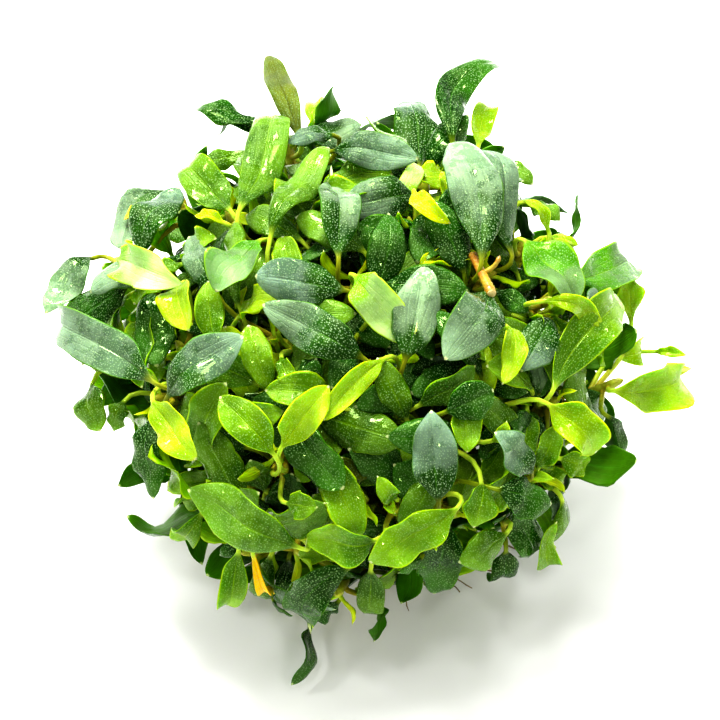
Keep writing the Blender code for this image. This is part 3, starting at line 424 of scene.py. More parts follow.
class LeafForm:
    """A leaf's middle line and its plain solid, for one slide and one place on its twig."""

    def __init__(self, blade: Blade, slide: Vector, foot: Vector, foot_out: Vector, swell: float = 0.0):
        self.blade = blade
        self.base = blade.base + slide
        self.tip = blade.tip + slide
        self.foot = foot
        self.foot_out = foot_out
        self.swell = swell
        axis = self.tip - self.base
        self.length = axis.length
        self.out = (blade.out - axis * blade.out.dot(axis) / axis.length_squared).normalized()
        self.side = axis.cross(self.out).normalized()
        bow = self.out * RULE.arch + self.side * blade.bend
        self.middle = (self.base + self.tip) / 2.0 + bow * self.length * 2.0

    def at(self, share: float) -> tuple:
        """Point and direction of the midrib at a share of the blade's length."""
        return curve_at(self.base, self.middle, self.tip, share)

    def half_width(self, share: float) -> float:
        """Half of the solid blade's width at a share of its length."""
        outline = math.sin(math.pi * share**RULE.widest_at) ** RULE.fullness
        return max(self.blade.width / 2.0 * outline, RULE.petiole_radius) + self.swell

    def blade_ring(self, share: float) -> list:
        """The solid blade's corners at a share of its length."""
        point, along = self.at(share)
        side = along.cross(self.out).normalized()
        up = side.cross(along)
        half = self.half_width(share)
        thick = RULE.thickness / 2.0 + self.swell
        cup = up * RULE.cup * (half - RULE.petiole_radius)
        left, right = point - side * half + cup, point + side * half + cup
        if self.blade.large:
            return [left, point + up * thick, right, point - up * thick]
        return [left, right, point - up * thick * RULE.keel]

    def petiole_pulls(self) -> tuple:
        """The two points that pull the petiole's curve, by the blade and by the foot."""
        start, along = self.at(0.0)
        reach = (start - self.foot).length
        pull = start - along * reach * RULE.blade_pull
        return pull, self.foot + self.foot_out * reach * RULE.foot_pull

    def petiole_rings(self, shares: tuple) -> list:
        """Rings of the solid petiole, from the blade down to its foot."""
        pull, push = self.petiole_pulls()
        points = []
        for share in (0.0, *shares):
            back = 1.0 - share
            point = self.base * back**3 + pull * 3.0 * back**2 * share
            points.append(point + push * 3.0 * back * share**2 + self.foot * share**3)
        before = self.at(0.0)[1]
        side = before.cross(self.out).normalized()
        up = side.cross(before)
        ways = [(first - second).normalized() for first, second in zip(points, points[1:])]
        both = zip([before, *ways], [*ways, ways[-1]])
        radius = RULE.petiole_radius + self.swell
        rings = []
        for point, way in zip(points, [(one + other).normalized() for one, other in both]):
            turn = before.rotation_difference(way)
            side, up, before = turn @ side, turn @ up, way
            across, rise = side * radius, up * radius
            if self.blade.large:
                rings.append([point - across, point + rise, point + across, point - rise])
            else:
                rings.append([point - across + rise / 2.0, point + across + rise / 2.0, point - rise])
        return rings

    def solid(self, petiole: bool = True) -> tuple:
        """Corner points and faces of the plain closed leaf, or of its blade alone."""
        large = self.blade.large
        feet = RULE.large_feet if large else RULE.small_feet
        rings = self.petiole_rings(feet)[::-1] if petiole else [self.blade_ring(0.0)]
        rings += [self.blade_ring(share) for share in (RULE.large_stations if large else RULE.small_stations)]
        end = self.tip + (self.tip - self.at(RULE.end_from)[0]).normalized() * self.swell
        return pointed_tube(rings, end)


@dataclass(frozen=True)
class TwigRule:
    """The sizes that every twig shares, and where leaves stand on it."""

    shoot_radius: float = 1.15 * MM
    radius: float = 0.85 * MM
    thinner: float = 0.06
    sides: int = 4
    segments: int = 3
    measures: int = 8
    fork_share: float = 0.55
    start_dip: float = 0.4
    start_pull: float = 0.5
    stagger: float = 0.035
    bow: float = 0.45
    taper: float = 0.85
    bud: float = 1.6
    turn: float = math.radians(3.0)
    most_turns: int = 26
    wrong_side: float = 0.6
    crowding: float = 1.2 * MM
    sink: float = 11.5 * MM
    sink_up: float = 0.6
    first_leaf: float = 0.7 * MM
    pitch: float = 1.15 * MM
    lowest: float = 0.02
    lean: float = 0.4
    gap: float = 0.35 * MM


TWIG = TwigRule()


class Twig:
    """A stretch of shoot along a curve, with the growing point at its end."""

    def __init__(self, start: Vector, pull: Vector, end: Vector, radius: float, end_radius: float):
        self.start, self.pull, self.end = start, pull, end
        self.radius, self.end_radius = radius, end_radius
        places = [self.at(k / TWIG.measures)[0] for k in range(TWIG.measures + 1)]
        self.length = sum((one - other).length for one, other in zip(places, places[1:]))
        self.leaves = 0

    def at(self, share: float) -> tuple:
        """Point and direction of the twig's middle line at a share of its length."""
        return curve_at(self.start, self.pull, self.end, share)

    def solid(self, swell: float = 0.0) -> tuple:
        """Corner points and faces of the plain twig, closed at its start and pointed at its bud."""
        before = self.at(0.0)[1]
        side = before.orthogonal().normalized()
        rings = []
        for step in range(TWIG.segments + 1):
            share = step / TWIG.segments
            point, along = self.at(share)
            side = before.rotation_difference(along) @ side
            before = along
            radius = between(self.radius, self.end_radius, share) + swell
            turns = [Quaternion(along, TURN * corner / TWIG.sides) for corner in range(TWIG.sides)]
            rings.append([point + turn @ side * radius for turn in turns])
        return pointed_tube(rings, point + along * self.end_radius * TWIG.bud)

    def next_foot(self, towards: Vector, twist: float, inside: bool) -> tuple:
        """Where the next leaf's petiole meets this twig.

        Args:
            towards: The blade's base.
            twist: How far the foot is turned round the twig.
            inside: Whether the petiole grows in one with the twig.

        Returns:
            The foot, and the direction that the petiole leaves in.
        """
        down = TWIG.first_leaf + TWIG.pitch * self.leaves
        share = max(1.0 - down / self.length, TWIG.lowest)
        first = math.floor(share * TWIG.segments)
        start, end = self.at(first / TWIG.segments)[0], self.at((first + 1) / TWIG.segments)[0]
        point, along = start.lerp(end, share * TWIG.segments - first), (end - start).normalized()
        aside = towards - point
        aside = (aside - along * aside.dot(along)).normalized()
        aside = Quaternion(along, twist) @ aside
        if inside:
            return point, (aside + along * TWIG.lean).normalized()
        return point + aside * (self.radius + TWIG.gap), aside


@dataclass
class Tip:
    """A growing point: its shoot, its twig, and whether the layout plane shows it."""

    shoot: str
    twig: Twig
    seen: bool


def box_of(points: list) -> tuple:
    """Lowest and highest corners of some points."""
    low = Vector([min(point[axis] for point in points) for axis in range(3)])
    high = Vector([max(point[axis] for point in points) for axis in range(3)])
    return low, high


class Room:
    """Room that is already taken: its owner, its box and a tree of its faces."""

    def __init__(self, owner: str, points: list, faces: list):
        self.owner = owner
        self.low, self.high = box_of(points)
        self.tree = BVHTree.FromPolygons(points, faces)

    def meets(self, low: Vector, high: Vector, tree: BVHTree) -> bool:
        """Whether a tree of faces in the given box cuts this one."""
        if any(low[axis] > self.high[axis] or high[axis] < self.low[axis] for axis in range(3)):
            return False
        return bool(self.tree.overlap(tree))


@dataclass(frozen=True)
class Search:
    """How far a leaf may be slid and twisted to find its place, and what each change costs."""

    step: float = 0.5 * MM
    lifts: int = 5
    slides: int = 24
    side_step: float = 1.3 * MM
    twists: tuple = tuple(math.radians(angle) for angle in (0, 35, -35, 75, -75, 120, -120))
    out_cost: float = 1.6
    side_cost: float = 5.0
    twist_cost: float = 0.7
    gap: float = 0.35 * MM
    floor: float = 0.5 * MM
    whole: bool = True

    def ways(self) -> list:
        """Slide out or in, slide aside and twist round the twig, the smallest change first."""
        ways = []
        for slide in range(-self.lifts, self.slides + 1):
            for aside in (0, 1, -1):
                for turn, twist in enumerate(self.twists):
                    cost = abs(slide) * (self.out_cost if slide < 0 else 1.0)
                    cost = cost + abs(aside) * self.side_cost + turn * self.twist_cost
                    ways.append((cost, slide, aside, twist))
        return [way[1:] for way in sorted(ways)]

    def settle(self, blade: Blade, tip: Tip, taken: list, ways: list) -> "LeafForm | None":
        """The first way in which a leaf is clear of all that is in place.

        Args:
            blade: The leaf where it would best be.
            tip: The growing point that it belongs to.
            taken: The room that is taken.
            ways: What may be tried, best first.

        Returns:
            The leaf's form, or None where it has no room.
        """
        across = blade.lift.cross(blade.tip - blade.base).normalized()
        wood = f"{tip.shoot}_wood"
        for slide, aside, twist in ways:
            shift = across * self.side_step * aside - blade.lift * self.step * slide
            foot, foot_out = tip.twig.next_foot(blade.base + shift, twist, not blade.large)
            points, faces = LeafForm(blade, shift, foot, foot_out, self.gap).solid(self.whole)
            low, high = box_of(points)
            if low.z < self.floor:
                continue
            tree = BVHTree.FromPolygons(points, faces)
            own = LeafForm(blade, shift, foot, foot_out)
            own_tree = BVHTree.FromPolygons(*own.solid(petiole=blade.large))
            if not any(other.meets(low, high, own_tree if other.owner == wood else tree) for other in taken):
                return own
        return None


@dataclass(frozen=True)
class KnotRule:
    """The sizes of the rhizome knot and of its solid's roots.

    Each wave of its lumps has a size, waves round the knot, a lean with height and a start.
    """

    name: str = "rhizome_knot"
    radius: float = 13.0 * MM
    height: float = 9.5 * MM
    sides: int = 12
    roundness: float = 2.2
    lump: float = 0.09
    lumps: tuple = ((1.0, 3.0, 0.0, 0.6), (0.7, 5.0, 4.0, 0.0), (0.5, 8.0, 0.0, 0.0))
    rises: tuple = (0.0, 0.3, 0.58, 0.82, 0.95)
    core: Vector = field(default_factory=lambda: Vector((0.0, 0.0, 2.0 * MM)))
    least_rise: float = 0.2
    roots: int = 7
    root_radius: float = 0.55 * MM
    root_taper: tuple = (1.2, 0.7)
    root_reach: float = 21.0 * MM
    root_sway: float = 5.0
    root_shares: tuple = (0.6, 0.75, 1.0)
    root_heights: tuple = (3.2 * MM, 4.2 * MM, 1.1 * MM)

    def share(self, turn: float, rise: float) -> float:
        """Radius of the lumpy knot, as a share, at an angle round it and a share of its height."""
        lumps = 0.0
        for size, waves, lean, start in self.lumps:
            lumps += size * math.sin(waves * turn + lean * rise + start)
        return 1.0 + self.lump * lumps

    def dome(self, sides: int, rises: tuple) -> tuple:
        """Corner points and faces of the knot, a lumpy dome with a flat underside."""
        rings = []
        for rise in rises:
            ring = []
            for turn in (TURN * corner / sides for corner in range(sides)):
                radius = self.radius * math.sqrt(1.0 - rise**self.roundness) * self.share(turn, rise)
                ring.append(Vector((radius * math.cos(turn), radius * math.sin(turn), self.height * rise)))
            rings.append(ring)
        return pointed_tube(rings, Vector((0.0, 0.0, self.height)))

    def root(self, number: int) -> Twig:
        """One of the thick roots, each a little different, which comes down to lie near the ground."""
        turn = TURN * number / self.roots + 0.5 * math.sin(2.4 * number)
        way = Vector((math.cos(turn), math.sin(turn), 0.0))
        sweep = Vector((-way.y, way.x, 0.0)) * self.root_sway * MM * math.sin(1.7 * number)
        reach = self.root_reach * (0.85 + 0.2 * math.sin(3.1 * number + 1.0))
        near, half_way, far = self.root_shares
        low, high, end_height = (Vector((0.0, 0.0, height)) for height in self.root_heights)
        start, pull = way * self.radius * near + low, way * reach * half_way + high
        end = way * reach * far + sweep + end_height
        return Twig(start, pull, end, *(self.root_radius * share for share in self.root_taper))

    def surface(self, towards: Vector) -> tuple:
        """A place just off the knot's surface on the way towards a point, and that way."""
        way = (towards - self.core).normalized()
        if way.z < self.least_rise:
            way = Vector((way.x, way.y, self.least_rise)).normalized()
        tree = BVHTree.FromPolygons(*self.dome(self.sides, self.rises))
        surface, normal = tree.ray_cast(self.core, way)[:2]
        square_on = abs(normal.dot(way))
        rise = TWIG.shoot_radius * math.sqrt(1.0 - square_on**2) / square_on
        return surface + way * (TWIG.gap + rise), way


KNOT = KnotRule()


@dataclass(frozen=True)
class SpearRule:
    """The sizes of the rolled newest leaves, of which each growing point has a pair."""

    start: float = 1.2 * MM
    leans: tuple = (0.5, 1.0)
    lengths: tuple = (3.8 * MM, 5.6 * MM)
    slenderness: float = 0.3
    bend: float = 0.1


SPEAR = SpearRule()


@dataclass
class Growth:
    """One leaf that has found its place: its form, its twig, its node, its number and how far it bows."""

    form: LeafForm
    twig: Twig
    node: str
    number: int
    bow: float


class Plant:
    """The whole plant's skeleton: trunks and twigs, and every leaf in its place."""

    # Leaves that fill in find room for their blades alone, and bow by less
    FILL = Search(gap=0.02 * MM, lifts=2, slides=9, twists=(0.0,), whole=False)
    FILL_BOW = 0.4

    def __init__(self) -> None:
        self.trunks: dict = {}
        self.tips: list = []
        self.leaves: list = []
        solids = [KNOT.dome(KNOT.sides, KNOT.rises), *[KNOT.root(k).solid() for k in range(KNOT.roots)]]
        self.taken = [Room(KNOT.name, *solid) for solid in solids]

    def growing_points(self, shoot: Shoot) -> list:
        """The growing points of a shoot in space, those on the layout plane first."""
        points = [LAYOUT.point(x, y, -TWIG.sink - sink * MM) for x, y, sink in shoot.seen]
        for azimuth, elevation in shoot.hidden:
            turn, rise = math.radians(azimuth), math.radians(elevation)
            flat = math.cos(rise) * (LAYOUT.radius - TWIG.sink)
            high = math.sin(rise) * (LAYOUT.half_height - TWIG.sink * TWIG.sink_up)
            points.append(LAYOUT.middle + Vector((flat * math.cos(turn), flat * math.sin(turn), high)))
        return points

    def twigs(self, points: list) -> tuple:
        """Trunk and twigs of one shoot, which leaves the knot and forks towards its growing points."""
        middle = sum(points, Vector()) / len(points)
        start, way = KNOT.surface(Vector((middle.x, middle.y, middle.z * TWIG.start_dip)))
        fork = start.lerp(middle, TWIG.fork_share)
        pull = start + way * (fork - start).length * TWIG.start_pull
        trunk = Twig(start, pull, fork, TWIG.shoot_radius, TWIG.radius)
        twigs = []
        for number, point in enumerate(points):
            root, along = trunk.at(1.0 - TWIG.stagger * (number + 1))
            reach = point - root
            pull = root + (along * 2.0 + reach.normalized()).normalized() * reach.length * TWIG.bow
            radius = TWIG.radius * (1.0 - TWIG.thinner * number)
            twigs.append(Twig(root, pull, point, radius, radius * TWIG.taper))
        return trunk, twigs

    def clear_twigs(self, points: list) -> tuple:
        """Trunk and twigs, turned round the knot by as little as keeps them clear of what is in place."""
        for step in range(TWIG.most_turns):
            angle = TWIG.turn * ((step + 1) // 2) * (1.0 if step % 2 else -1.0)
            trunk, twigs = self.twigs([Matrix.Rotation(angle, 3, "Z") @ point for point in points])
            clear = True
            for swell, on_knot in ((TWIG.gap, False), (0.0, True)):
                solids = [twig.solid(swell) for twig in (trunk, *twigs)]
                boxes = [(*box_of(solid[0]), BVHTree.FromPolygons(*solid)) for solid in solids]
                others = [room for room in self.taken if (room.owner == KNOT.name) == on_knot]
                clear = clear and not any(room.meets(*box) for room in others for box in boxes)
            if clear:
                return trunk, twigs
        raise RuntimeError("a shoot finds no room between the others")

    def raise_shoots(self) -> None:
        """Lay the trunks and twigs of every shoot."""
        for number, shoot in enumerate(SHOOTS, 1):
            name = f"shoot_{number:02d}"
            self.trunks[name], twigs = self.clear_twigs(self.growing_points(shoot))
            self.taken += [Room(f"{name}_wood", *twig.solid()) for twig in (self.trunks[name], *twigs)]
            self.tips += [Tip(name, twig, k < len(shoot.seen)) for k, twig in enumerate(twigs)]

    def nearest_tip(self, blade: Blade, tips: list) -> Tip:
        """The growing point that suits a leaf best: near its base, behind it, and not too crowded."""
        axis = (blade.tip - blade.base).normalized()

        def cost(tip: Tip) -> float:
            """How badly a growing point suits the leaf."""
            reach = tip.twig.end - blade.base
            ahead = max(reach.dot(axis), 0.0)
            return reach.length + TWIG.wrong_side * ahead + TWIG.crowding * tip.twig.leaves

        return min(tips, key=cost)

    def add_leaf(self, blade: Blade, name: "str | None", tips: list, search: Search, ways: list) -> bool:
        """Give one leaf its place.

        Args:
            blade: The leaf where it would best be.
            name: Its node, where it is a piece of its own.
            tips: The growing points that it may belong to.
            search: How it finds its place.
            ways: What may be tried, best first.

        Returns:
            Whether it found room.
        """
        tip = self.nearest_tip(blade, tips)
        form = search.settle(blade, tip, self.taken, ways)
        if form is None:
            return False
        tip.twig.leaves += 1
        node = name or tip.shoot
        self.taken.append(Room(node, *form.solid(search.whole)))
        bow = 1.0 if search.whole else self.FILL_BOW
        self.leaves.append(Growth(form, tip.twig, node, len(self.leaves), bow))
        return True

    def lay_leaves(self) -> None:
        """Lay the leaves that the frame has solids for, in the order of its own rule."""
        search = Search()
        ways = search.ways()
        seen = [tip for tip in self.tips if tip.seen]
        jobs = [(RULE.laid(row, k, True), f"leaf_{k + 1:02d}", seen) for k, row in enumerate(LARGE_LEAVES)]
        jobs += [(RULE.laid(row, k, False), None, seen) for k, row in enumerate(SMALL_LEAVES)]
        jobs.sort(key=lambda job: job[0].layer)
        for tip in self.tips:
            if not tip.seen:
                outward = LAYOUT.normal(tip.twig.end)
                blades = [RULE.hidden(tip.twig.end, outward, k) for k in range(RULE.hidden_leaves)]
                jobs += [(blade, None, [tip]) for blade in blades]
        missed = [job for job in jobs if not self.add_leaf(*job, search, ways)]
        log.info("%d leaves in place by the frame's rule, %d without room", len(self.leaves), len(missed))
        self.fill([job[0] for job in missed])

    def fill(self, blades: list) -> None:
        """Lay leaves that the frame has no solids for, wherever there is room for them."""
        ways = self.FILL.ways()
        laid = sum(self.add_leaf(blade, None, self.tips, self.FILL, ways) for blade in blades)
        log.info("%d of %d more leaves in place", laid, len(blades))

    def spears(self) -> list:
        """The rolled newest leaves, a pair of them at each growing point."""
        blades = []
        for number, tip in enumerate(self.tips):
            outward = LAYOUT.normal(tip.twig.end)
            for side, (lean, length) in enumerate(zip(SPEAR.leans, SPEAR.lengths)):
                aside = around(outward, GOLDEN_ANGLE * (2 * number + side))
                axis = (outward + aside * lean).normalized()
                base = tip.twig.end + axis * SPEAR.start
                end = base + axis * length
                facing = (aside - axis * aside.dot(axis)).normalized()
                tone = (YELLOW, LIME)[side] if tip.seen else BRIGHT
                if in_outline(end):
                    width = length * SPEAR.slenderness
                    blades.append(Blade(base, end, facing, outward, width, tone, SPEAR.bend))
        return blades

    def grow(self) -> None:
        """Grow the whole plant."""
        self.raise_shoots()
        self.lay_leaves()
        first = len(SMALL_LEAVES)
        self.fill([RULE.laid(row, first + k, False) for k, row in enumerate(INNER_LEAVES)])
        self.fill(self.spears())
        for layer in UNDERGROWTH:
            self.fill(layer.blades())


# The clump's own outline on the layout plane, in mm: what fills it stays within it
OUTLINE = (
    (-41.5, 3.5), (-40, 8), (-37, 12), (-33.5, 14.5), (-33, 18), (-31, 21.5), (-28, 24), (-24.5, 25.5),
    (-22, 27.5), (-19, 28.5), (-16.5, 30.5), (-13.5, 31), (-9.5, 31.5), (-7.5, 34), (-4.5, 34.5), (-1, 31.5),
    (3.5, 29.5), (7, 27), (10, 26), (12, 28), (15.5, 29.5), (19, 28.5), (22.5, 26), (23.5, 22.5), (26, 20.5),
    (28, 16.5), (32, 15), (35, 12.5), (37, 8.5), (38, 3), (38.5, 0.5), (37, -2), (34, -3.5), (35, -7),
    (36.5, -11), (36, -14), (33.5, -13.5), (32.5, -16.5), (30, -19), (28.5, -23.5), (28, -27.5),
    (24.5, -26.5), (21, -29.5), (18, -30), (14, -32), (10, -33), (6.5, -31), (4, -34.5), (3.5, -39),
    (0, -39), (-3, -40), (-7, -38.5), (-10, -37), (-13.5, -35), (-18, -34), (-18.5, -29), (-20, -27),
    (-24, -25), (-26, -23), (-26.5, -20.5), (-24, -18.5), (-26.5, -16), (-28.5, -13), (-32, -10.5),
    (-37.5, -10), (-38.5, -6.5), (-39.5, -3),
)

# Growing points where young, yellow-green leaves show between the others: place on the layout plane and
# reach, in mm
GROWING_POINTS = (
    (-13, -2, 4.5), (37, -4, 5), (-17.5, 18.5, 4.5), (9, 22, 4), (30, 1, 4), (-14, 7, 3), (18, -16, 2.5),
    (13.5, 13.5, 3), (-36, 12, 3),
)


def near_growth(point: Vector) -> bool:
    """Whether a point in space shows near one of the growing points."""
    across, up = LAYOUT.shown(point)
    return any(math.hypot(across - x, up - y) < reach for x, y, reach in GROWING_POINTS)


def in_outline(point: Vector) -> bool:
    """Whether a point in space lies behind the clump's outline, as the layout plane is looked at."""
    across, up = LAYOUT.shown(point)
    inside = False
    for (x0, y0), (x1, y1) in zip(OUTLINE, (*OUTLINE[1:], OUTLINE[0])):
        if (y0 > up) != (y1 > up) and across < x0 + (x1 - x0) * (up - y0) / (y1 - y0):
            inside = not inside
    return inside


@dataclass(frozen=True)
class Undergrowth:
    """A layer of leaves spread evenly over the body, on its far side or under its outer leaves."""

    count: int
    depth: float
    facing: tuple
    length: float
    tones: tuple
    tilt: float
    seed: int

    # A layer that faces the view by more than this has young leaves near the growing points
    TOWARDS_VIEW = 0.5
    # Ranges of chance: tilt and length as shares of the layer's own, roll, and width as a share of length
    TILTS = (0.6, 1.4)
    LENGTHS = (0.75, 1.2)
    ROLLS = (-0.4, 0.4)
    WIDTHS = (0.42, 0.52)

    def blades(self) -> list:
        """The layer's leaves, each where it would best be."""
        chance = random.Random(self.seed)
        blades = []
        for number in range(self.count):
            rise = 1.0 - 2.0 * (number + 0.5) / self.count
            turn = GOLDEN_ANGLE * number
            flat = math.sqrt(1.0 - rise**2)
            way = Vector((flat * math.cos(turn), flat * math.sin(turn), rise))
            if not self.facing[0] <= way.dot(LAYOUT.out) <= self.facing[1]:
                continue
            place = LAYOUT.on_body(way, self.depth)
            outward = LAYOUT.normal(place)
            aside = around(outward, chance.uniform(0.0, TURN))
            tilt = self.tilt * chance.uniform(*self.TILTS)
            axis = outward * math.sin(tilt) + aside * math.cos(tilt)
            length = self.length * chance.uniform(*self.LENGTHS)
            facing = outward * math.cos(tilt) - aside * math.sin(tilt)
            facing = Quaternion(axis, chance.uniform(*self.ROLLS)) @ facing
            base = place - axis * length * 0.5
            tip = base + axis * length
            if in_outline(base) and in_outline(tip):
                width = length * chance.uniform(*self.WIDTHS)
                tone = chance.choice(self.tones)
                if near_growth(place) and self.facing[1] > self.TOWARDS_VIEW:
                    tone = YOUNG_TONES[number % len(YOUNG_TONES)]
                blades.append(Blade(base, tip, facing, outward, width, tone))
        return blades


# The deeper layers take more of the dark tone, which darkens the inside of the clump as painted shade
UNDERGROWTH = (
    Undergrowth(190, 0.95, (-1.0, 0.3), 12.5 * MM, (DARK, DARK, GREEN, SHEEN, BRIGHT), 0.45, 11),
    Undergrowth(210, 0.82, (-0.2, 1.0), 11.5 * MM, (DARK, BRIGHT, DARK, GREEN, GREEN, BRIGHT), 0.3, 14),
    Undergrowth(210, 0.73, (-1.0, 1.0), 12.0 * MM, (DARK, GREEN, DARK, BRIGHT), 0.2, 12),
    Undergrowth(120, 0.62, (-1.0, 1.0), 12.5 * MM, (DARK, DARK, GREEN), 0.2, 13),
    Undergrowth(60, 0.46, (-1.0, 1.0), 12.5 * MM, (DARK, DARK, GREEN), 0.2, 15),
)


@dataclass(frozen=True)
class LeafHabit:
    """How leaves of one tone are shaped: ranges of curl, fold, ripple and twist."""

    curl: tuple
    fold: tuple
    ripple: tuple
    twist: tuple


MATURE = LeafHabit(curl=(-1.0, -0.2), fold=(0.08, 0.34), ripple=(0.1, 0.34), twist=(-0.35, 0.35))
YOUNG = LeafHabit(curl=(0.15, 0.85), fold=(0.0, 0.2), ripple=(0.2, 0.5), twist=(-0.5, 0.5))
NEWEST = LeafHabit(curl=(0.7, 1.5), fold=(0.0, 0.1), ripple=(0.1, 0.3), twist=(-0.7, 0.7))
HABITS = dict.fromkeys(Tone, YOUNG)
HABITS |= dict.fromkeys((DARK, SHEEN, GREEN, OLIVE), MATURE) | dict.fromkeys((YELLOW, ORANGE), NEWEST)


def reckoning(operation: str, turned: bool = False) -> Callable:
    """A method that reckons with a value and another one, or with the other one first."""

    def method(self: "Value", other: object) -> "Value":
        """The result."""
        return self.sheet.math(operation, *((other, self) if turned else (self, other)))

    return method


@dataclass(frozen=True, eq=False)
class Value:
    """A node's output, which can be reckoned with like a number."""

    sheet: "NodeSheet"
    socket: bpy.types.NodeSocket

    __add__ = __radd__ = reckoning("ADD")
    __mul__ = __rmul__ = reckoning("MULTIPLY")
    __sub__, __rsub__ = reckoning("SUBTRACT"), reckoning("SUBTRACT", turned=True)
    __truediv__ = reckoning("DIVIDE")
    __pow__ = reckoning("POWER")

    def __abs__(self) -> "Value":
        """The value without its sign."""
        return self.sheet.math("ABSOLUTE", self)

    def clamped(self) -> "Value":
        """The value, kept from 0 to 1."""
        return self.sheet.math("ADD", self, 0.0, clamp=True)


def used(sockets: bpy.types.bpy_prop_collection, name: "str | None" = None) -> bpy.types.NodeSocket:
    """The socket of that name that its node uses, or its first one in use."""
    return next(socket for socket in sockets if socket.enabled and name in (None, socket.name))


class NodeSheet:
    """Adds nodes to a node tree and joins them."""

    def __init__(self, tree: bpy.types.NodeTree):
        self.tree = tree

    def join(self, socket: bpy.types.NodeSocket, value: object) -> None:
        """Give a socket a number, or join it to another node's output."""
        if isinstance(value, Value):
            self.tree.links.new(value.socket, socket)
        else:
            socket.default_value = value

    def feed(self, node: bpy.types.Node, feeds: dict) -> None:
        """Give a node's inputs what they get, by their names."""
        for name, value in feeds.items():
            self.join(used(node.inputs, name), value)

    def out(self, node: bpy.types.Node, name: "str | None" = None) -> Value:
        """A node's output of that name, or its first one."""
        return Value(self, used(node.outputs, name))

    def add(self, kind: str, feeds: "dict | None" = None, **settings: object) -> bpy.types.Node:
        """Add one node.

        Args:
            kind: The node's type.
            feeds: What its inputs get, by their names.
            **settings: Its properties.

        Returns:
            The node.
        """
        node = self.tree.nodes.new(kind)
        for name, value in settings.items():
            setattr(node, name, value)
        self.feed(node, feeds or {})
        return node

    def result(self, kind: str, feeds: "dict | None" = None, **settings: object) -> Value:
        """The first output of a new node."""
        return self.out(self.add(kind, feeds, **settings))

    def shape(self, kind: str, shape: Value, feeds: "dict | None" = None) -> Value:
        """The shape after one more node of geometry."""
        return self.result(f"GeometryNode{kind}", {"Geometry": shape} | (feeds or {}))

    def math(self, operation: str, *values: object, clamp: bool = False) -> Value:
        """The result of arithmetic on numbers."""
        node = self.add("ShaderNodeMath", operation=operation, use_clamp=clamp)
        for socket, value in zip(node.inputs, values):
            self.join(socket, value)
        return self.out(node)

    def vector(self, operation: str, *values: object) -> Value:
        """The result of arithmetic on vectors."""
        node = self.add("ShaderNodeVectorMath", operation=operation)
        for socket, value in zip([socket for socket in node.inputs if socket.enabled], values):
            self.join(socket, value)
        return self.out(node)

    def blend(self, share: object, first: object, second: object, kind: str = "VECTOR") -> Value:
        """Something between two values, by a share from 0 to 1."""
        return self.result("ShaderNodeMix", {"Factor": share, "A": first, "B": second}, data_type=kind)

    def ramp(self, value: Value, low: float, high: float) -> Value:
        """0 at low and 1 at high, with a smooth change between them."""
        feeds = {"Value": value, "From Min": low, "From Max": high}
        return self.result("ShaderNodeMapRange", feeds, interpolation_type="SMOOTHSTEP")

    def parts(self, vector: Value) -> list:
        """The three numbers of a vector or a colour."""
        node = self.add("ShaderNodeSeparateXYZ", {"Vector": vector})
        return [Value(self, socket) for socket in node.outputs]

    def whole(self, *numbers: object) -> Value:
        """The vector of two or three numbers."""
        return self.result("ShaderNodeCombineXYZ", dict(zip("XYZ", numbers)))

    def field(self, name: str, kind: str = "FLOAT") -> Value:
        """A named attribute of the shape."""
        return self.result("GeometryNodeInputNamedAttribute", {"Name": name}, data_type=kind)

    def store(self, shape: Value, name: str, value: Value, kind: str = "FLOAT") -> Value:
        """The shape with a named attribute on its points."""
        feeds = {"Geometry": shape, "Name": name, "Value": value}
        return self.result("GeometryNodeStoreNamedAttribute", feeds, data_type=kind, domain="POINT")

    def cloud(self, scale: object, where: Value) -> Value:
        """Cloudy values from 0 to 1 at places."""
        return self.result("ShaderNodeTexNoise", {"Vector": where, "Scale": scale, "Detail": 2.0})


def new_group(name: str, kind: str, ins: dict, outs: dict) -> tuple:
    """A node group with named sockets.

    Args:
        name: The group's name.
        kind: Its tree type.
        ins: Its inputs' names, by socket types.
        outs: Its outputs' names, by socket types.

    Returns:
        Its sheet, its inputs' values by name, and its output node.
    """
    tree = bpy.data.node_groups.new(name, kind)
    for kinds, way in ((ins, "INPUT"), (outs, "OUTPUT")):
        for socket_kind, names in kinds.items():
            for socket in names:
                tree.interface.new_socket(name=socket, in_out=way, socket_type=f"NodeSocket{socket_kind}")
    sheet = NodeSheet(tree)
    given = {socket.name: Value(sheet, socket) for socket in sheet.add("NodeGroupInput").outputs}
    return sheet, given, sheet.add("NodeGroupOutput")


def placed(name: str, data: bpy.types.ID) -> bpy.types.Object:
    """A new object in the scene."""
    thing = bpy.data.objects.new(name, data)
    bpy.context.scene.collection.objects.link(thing)
    return thing


def grown_piece(name: str, mesh: bpy.types.Mesh, tree: bpy.types.NodeTree, values: dict) -> bpy.types.Object:
    """A plain mesh piece, made by a tree of geometry nodes.

    Args:
        name: The piece's name.
        mesh: What the tree starts from.
        tree: The tree.
        values: Its inputs, by their names.

    Returns:
        The piece, at the origin, with only the materials that it wears.
    """
    start = placed(f"{name}_start", mesh)
    growth = start.modifiers.new("growth", "NODES")
    growth.node_group = tree
    sockets = {item.name: item.identifier for item in tree.interface.items_tree if item.in_out == "INPUT"}
    for key, value in values.items():
        growth[sockets[key]] = value
    evaluated = start.evaluated_get(bpy.context.evaluated_depsgraph_get())
    grown = bpy.data.meshes.new_from_object(evaluated)
    bpy.data.objects.remove(start)
    bpy.data.meshes.remove(mesh)
    grown.name = name
    indices = [0] * len(grown.polygons)
    grown.polygons.foreach_get("material_index", indices)
    worn = sorted(set(indices))
    materials = [grown.materials[index] for index in worn]
    grown.materials.clear()
    for material in materials:
        grown.materials.append(material)
    grown.polygons.foreach_set("material_index", [worn.index(index) for index in indices])
    return placed(name, grown)


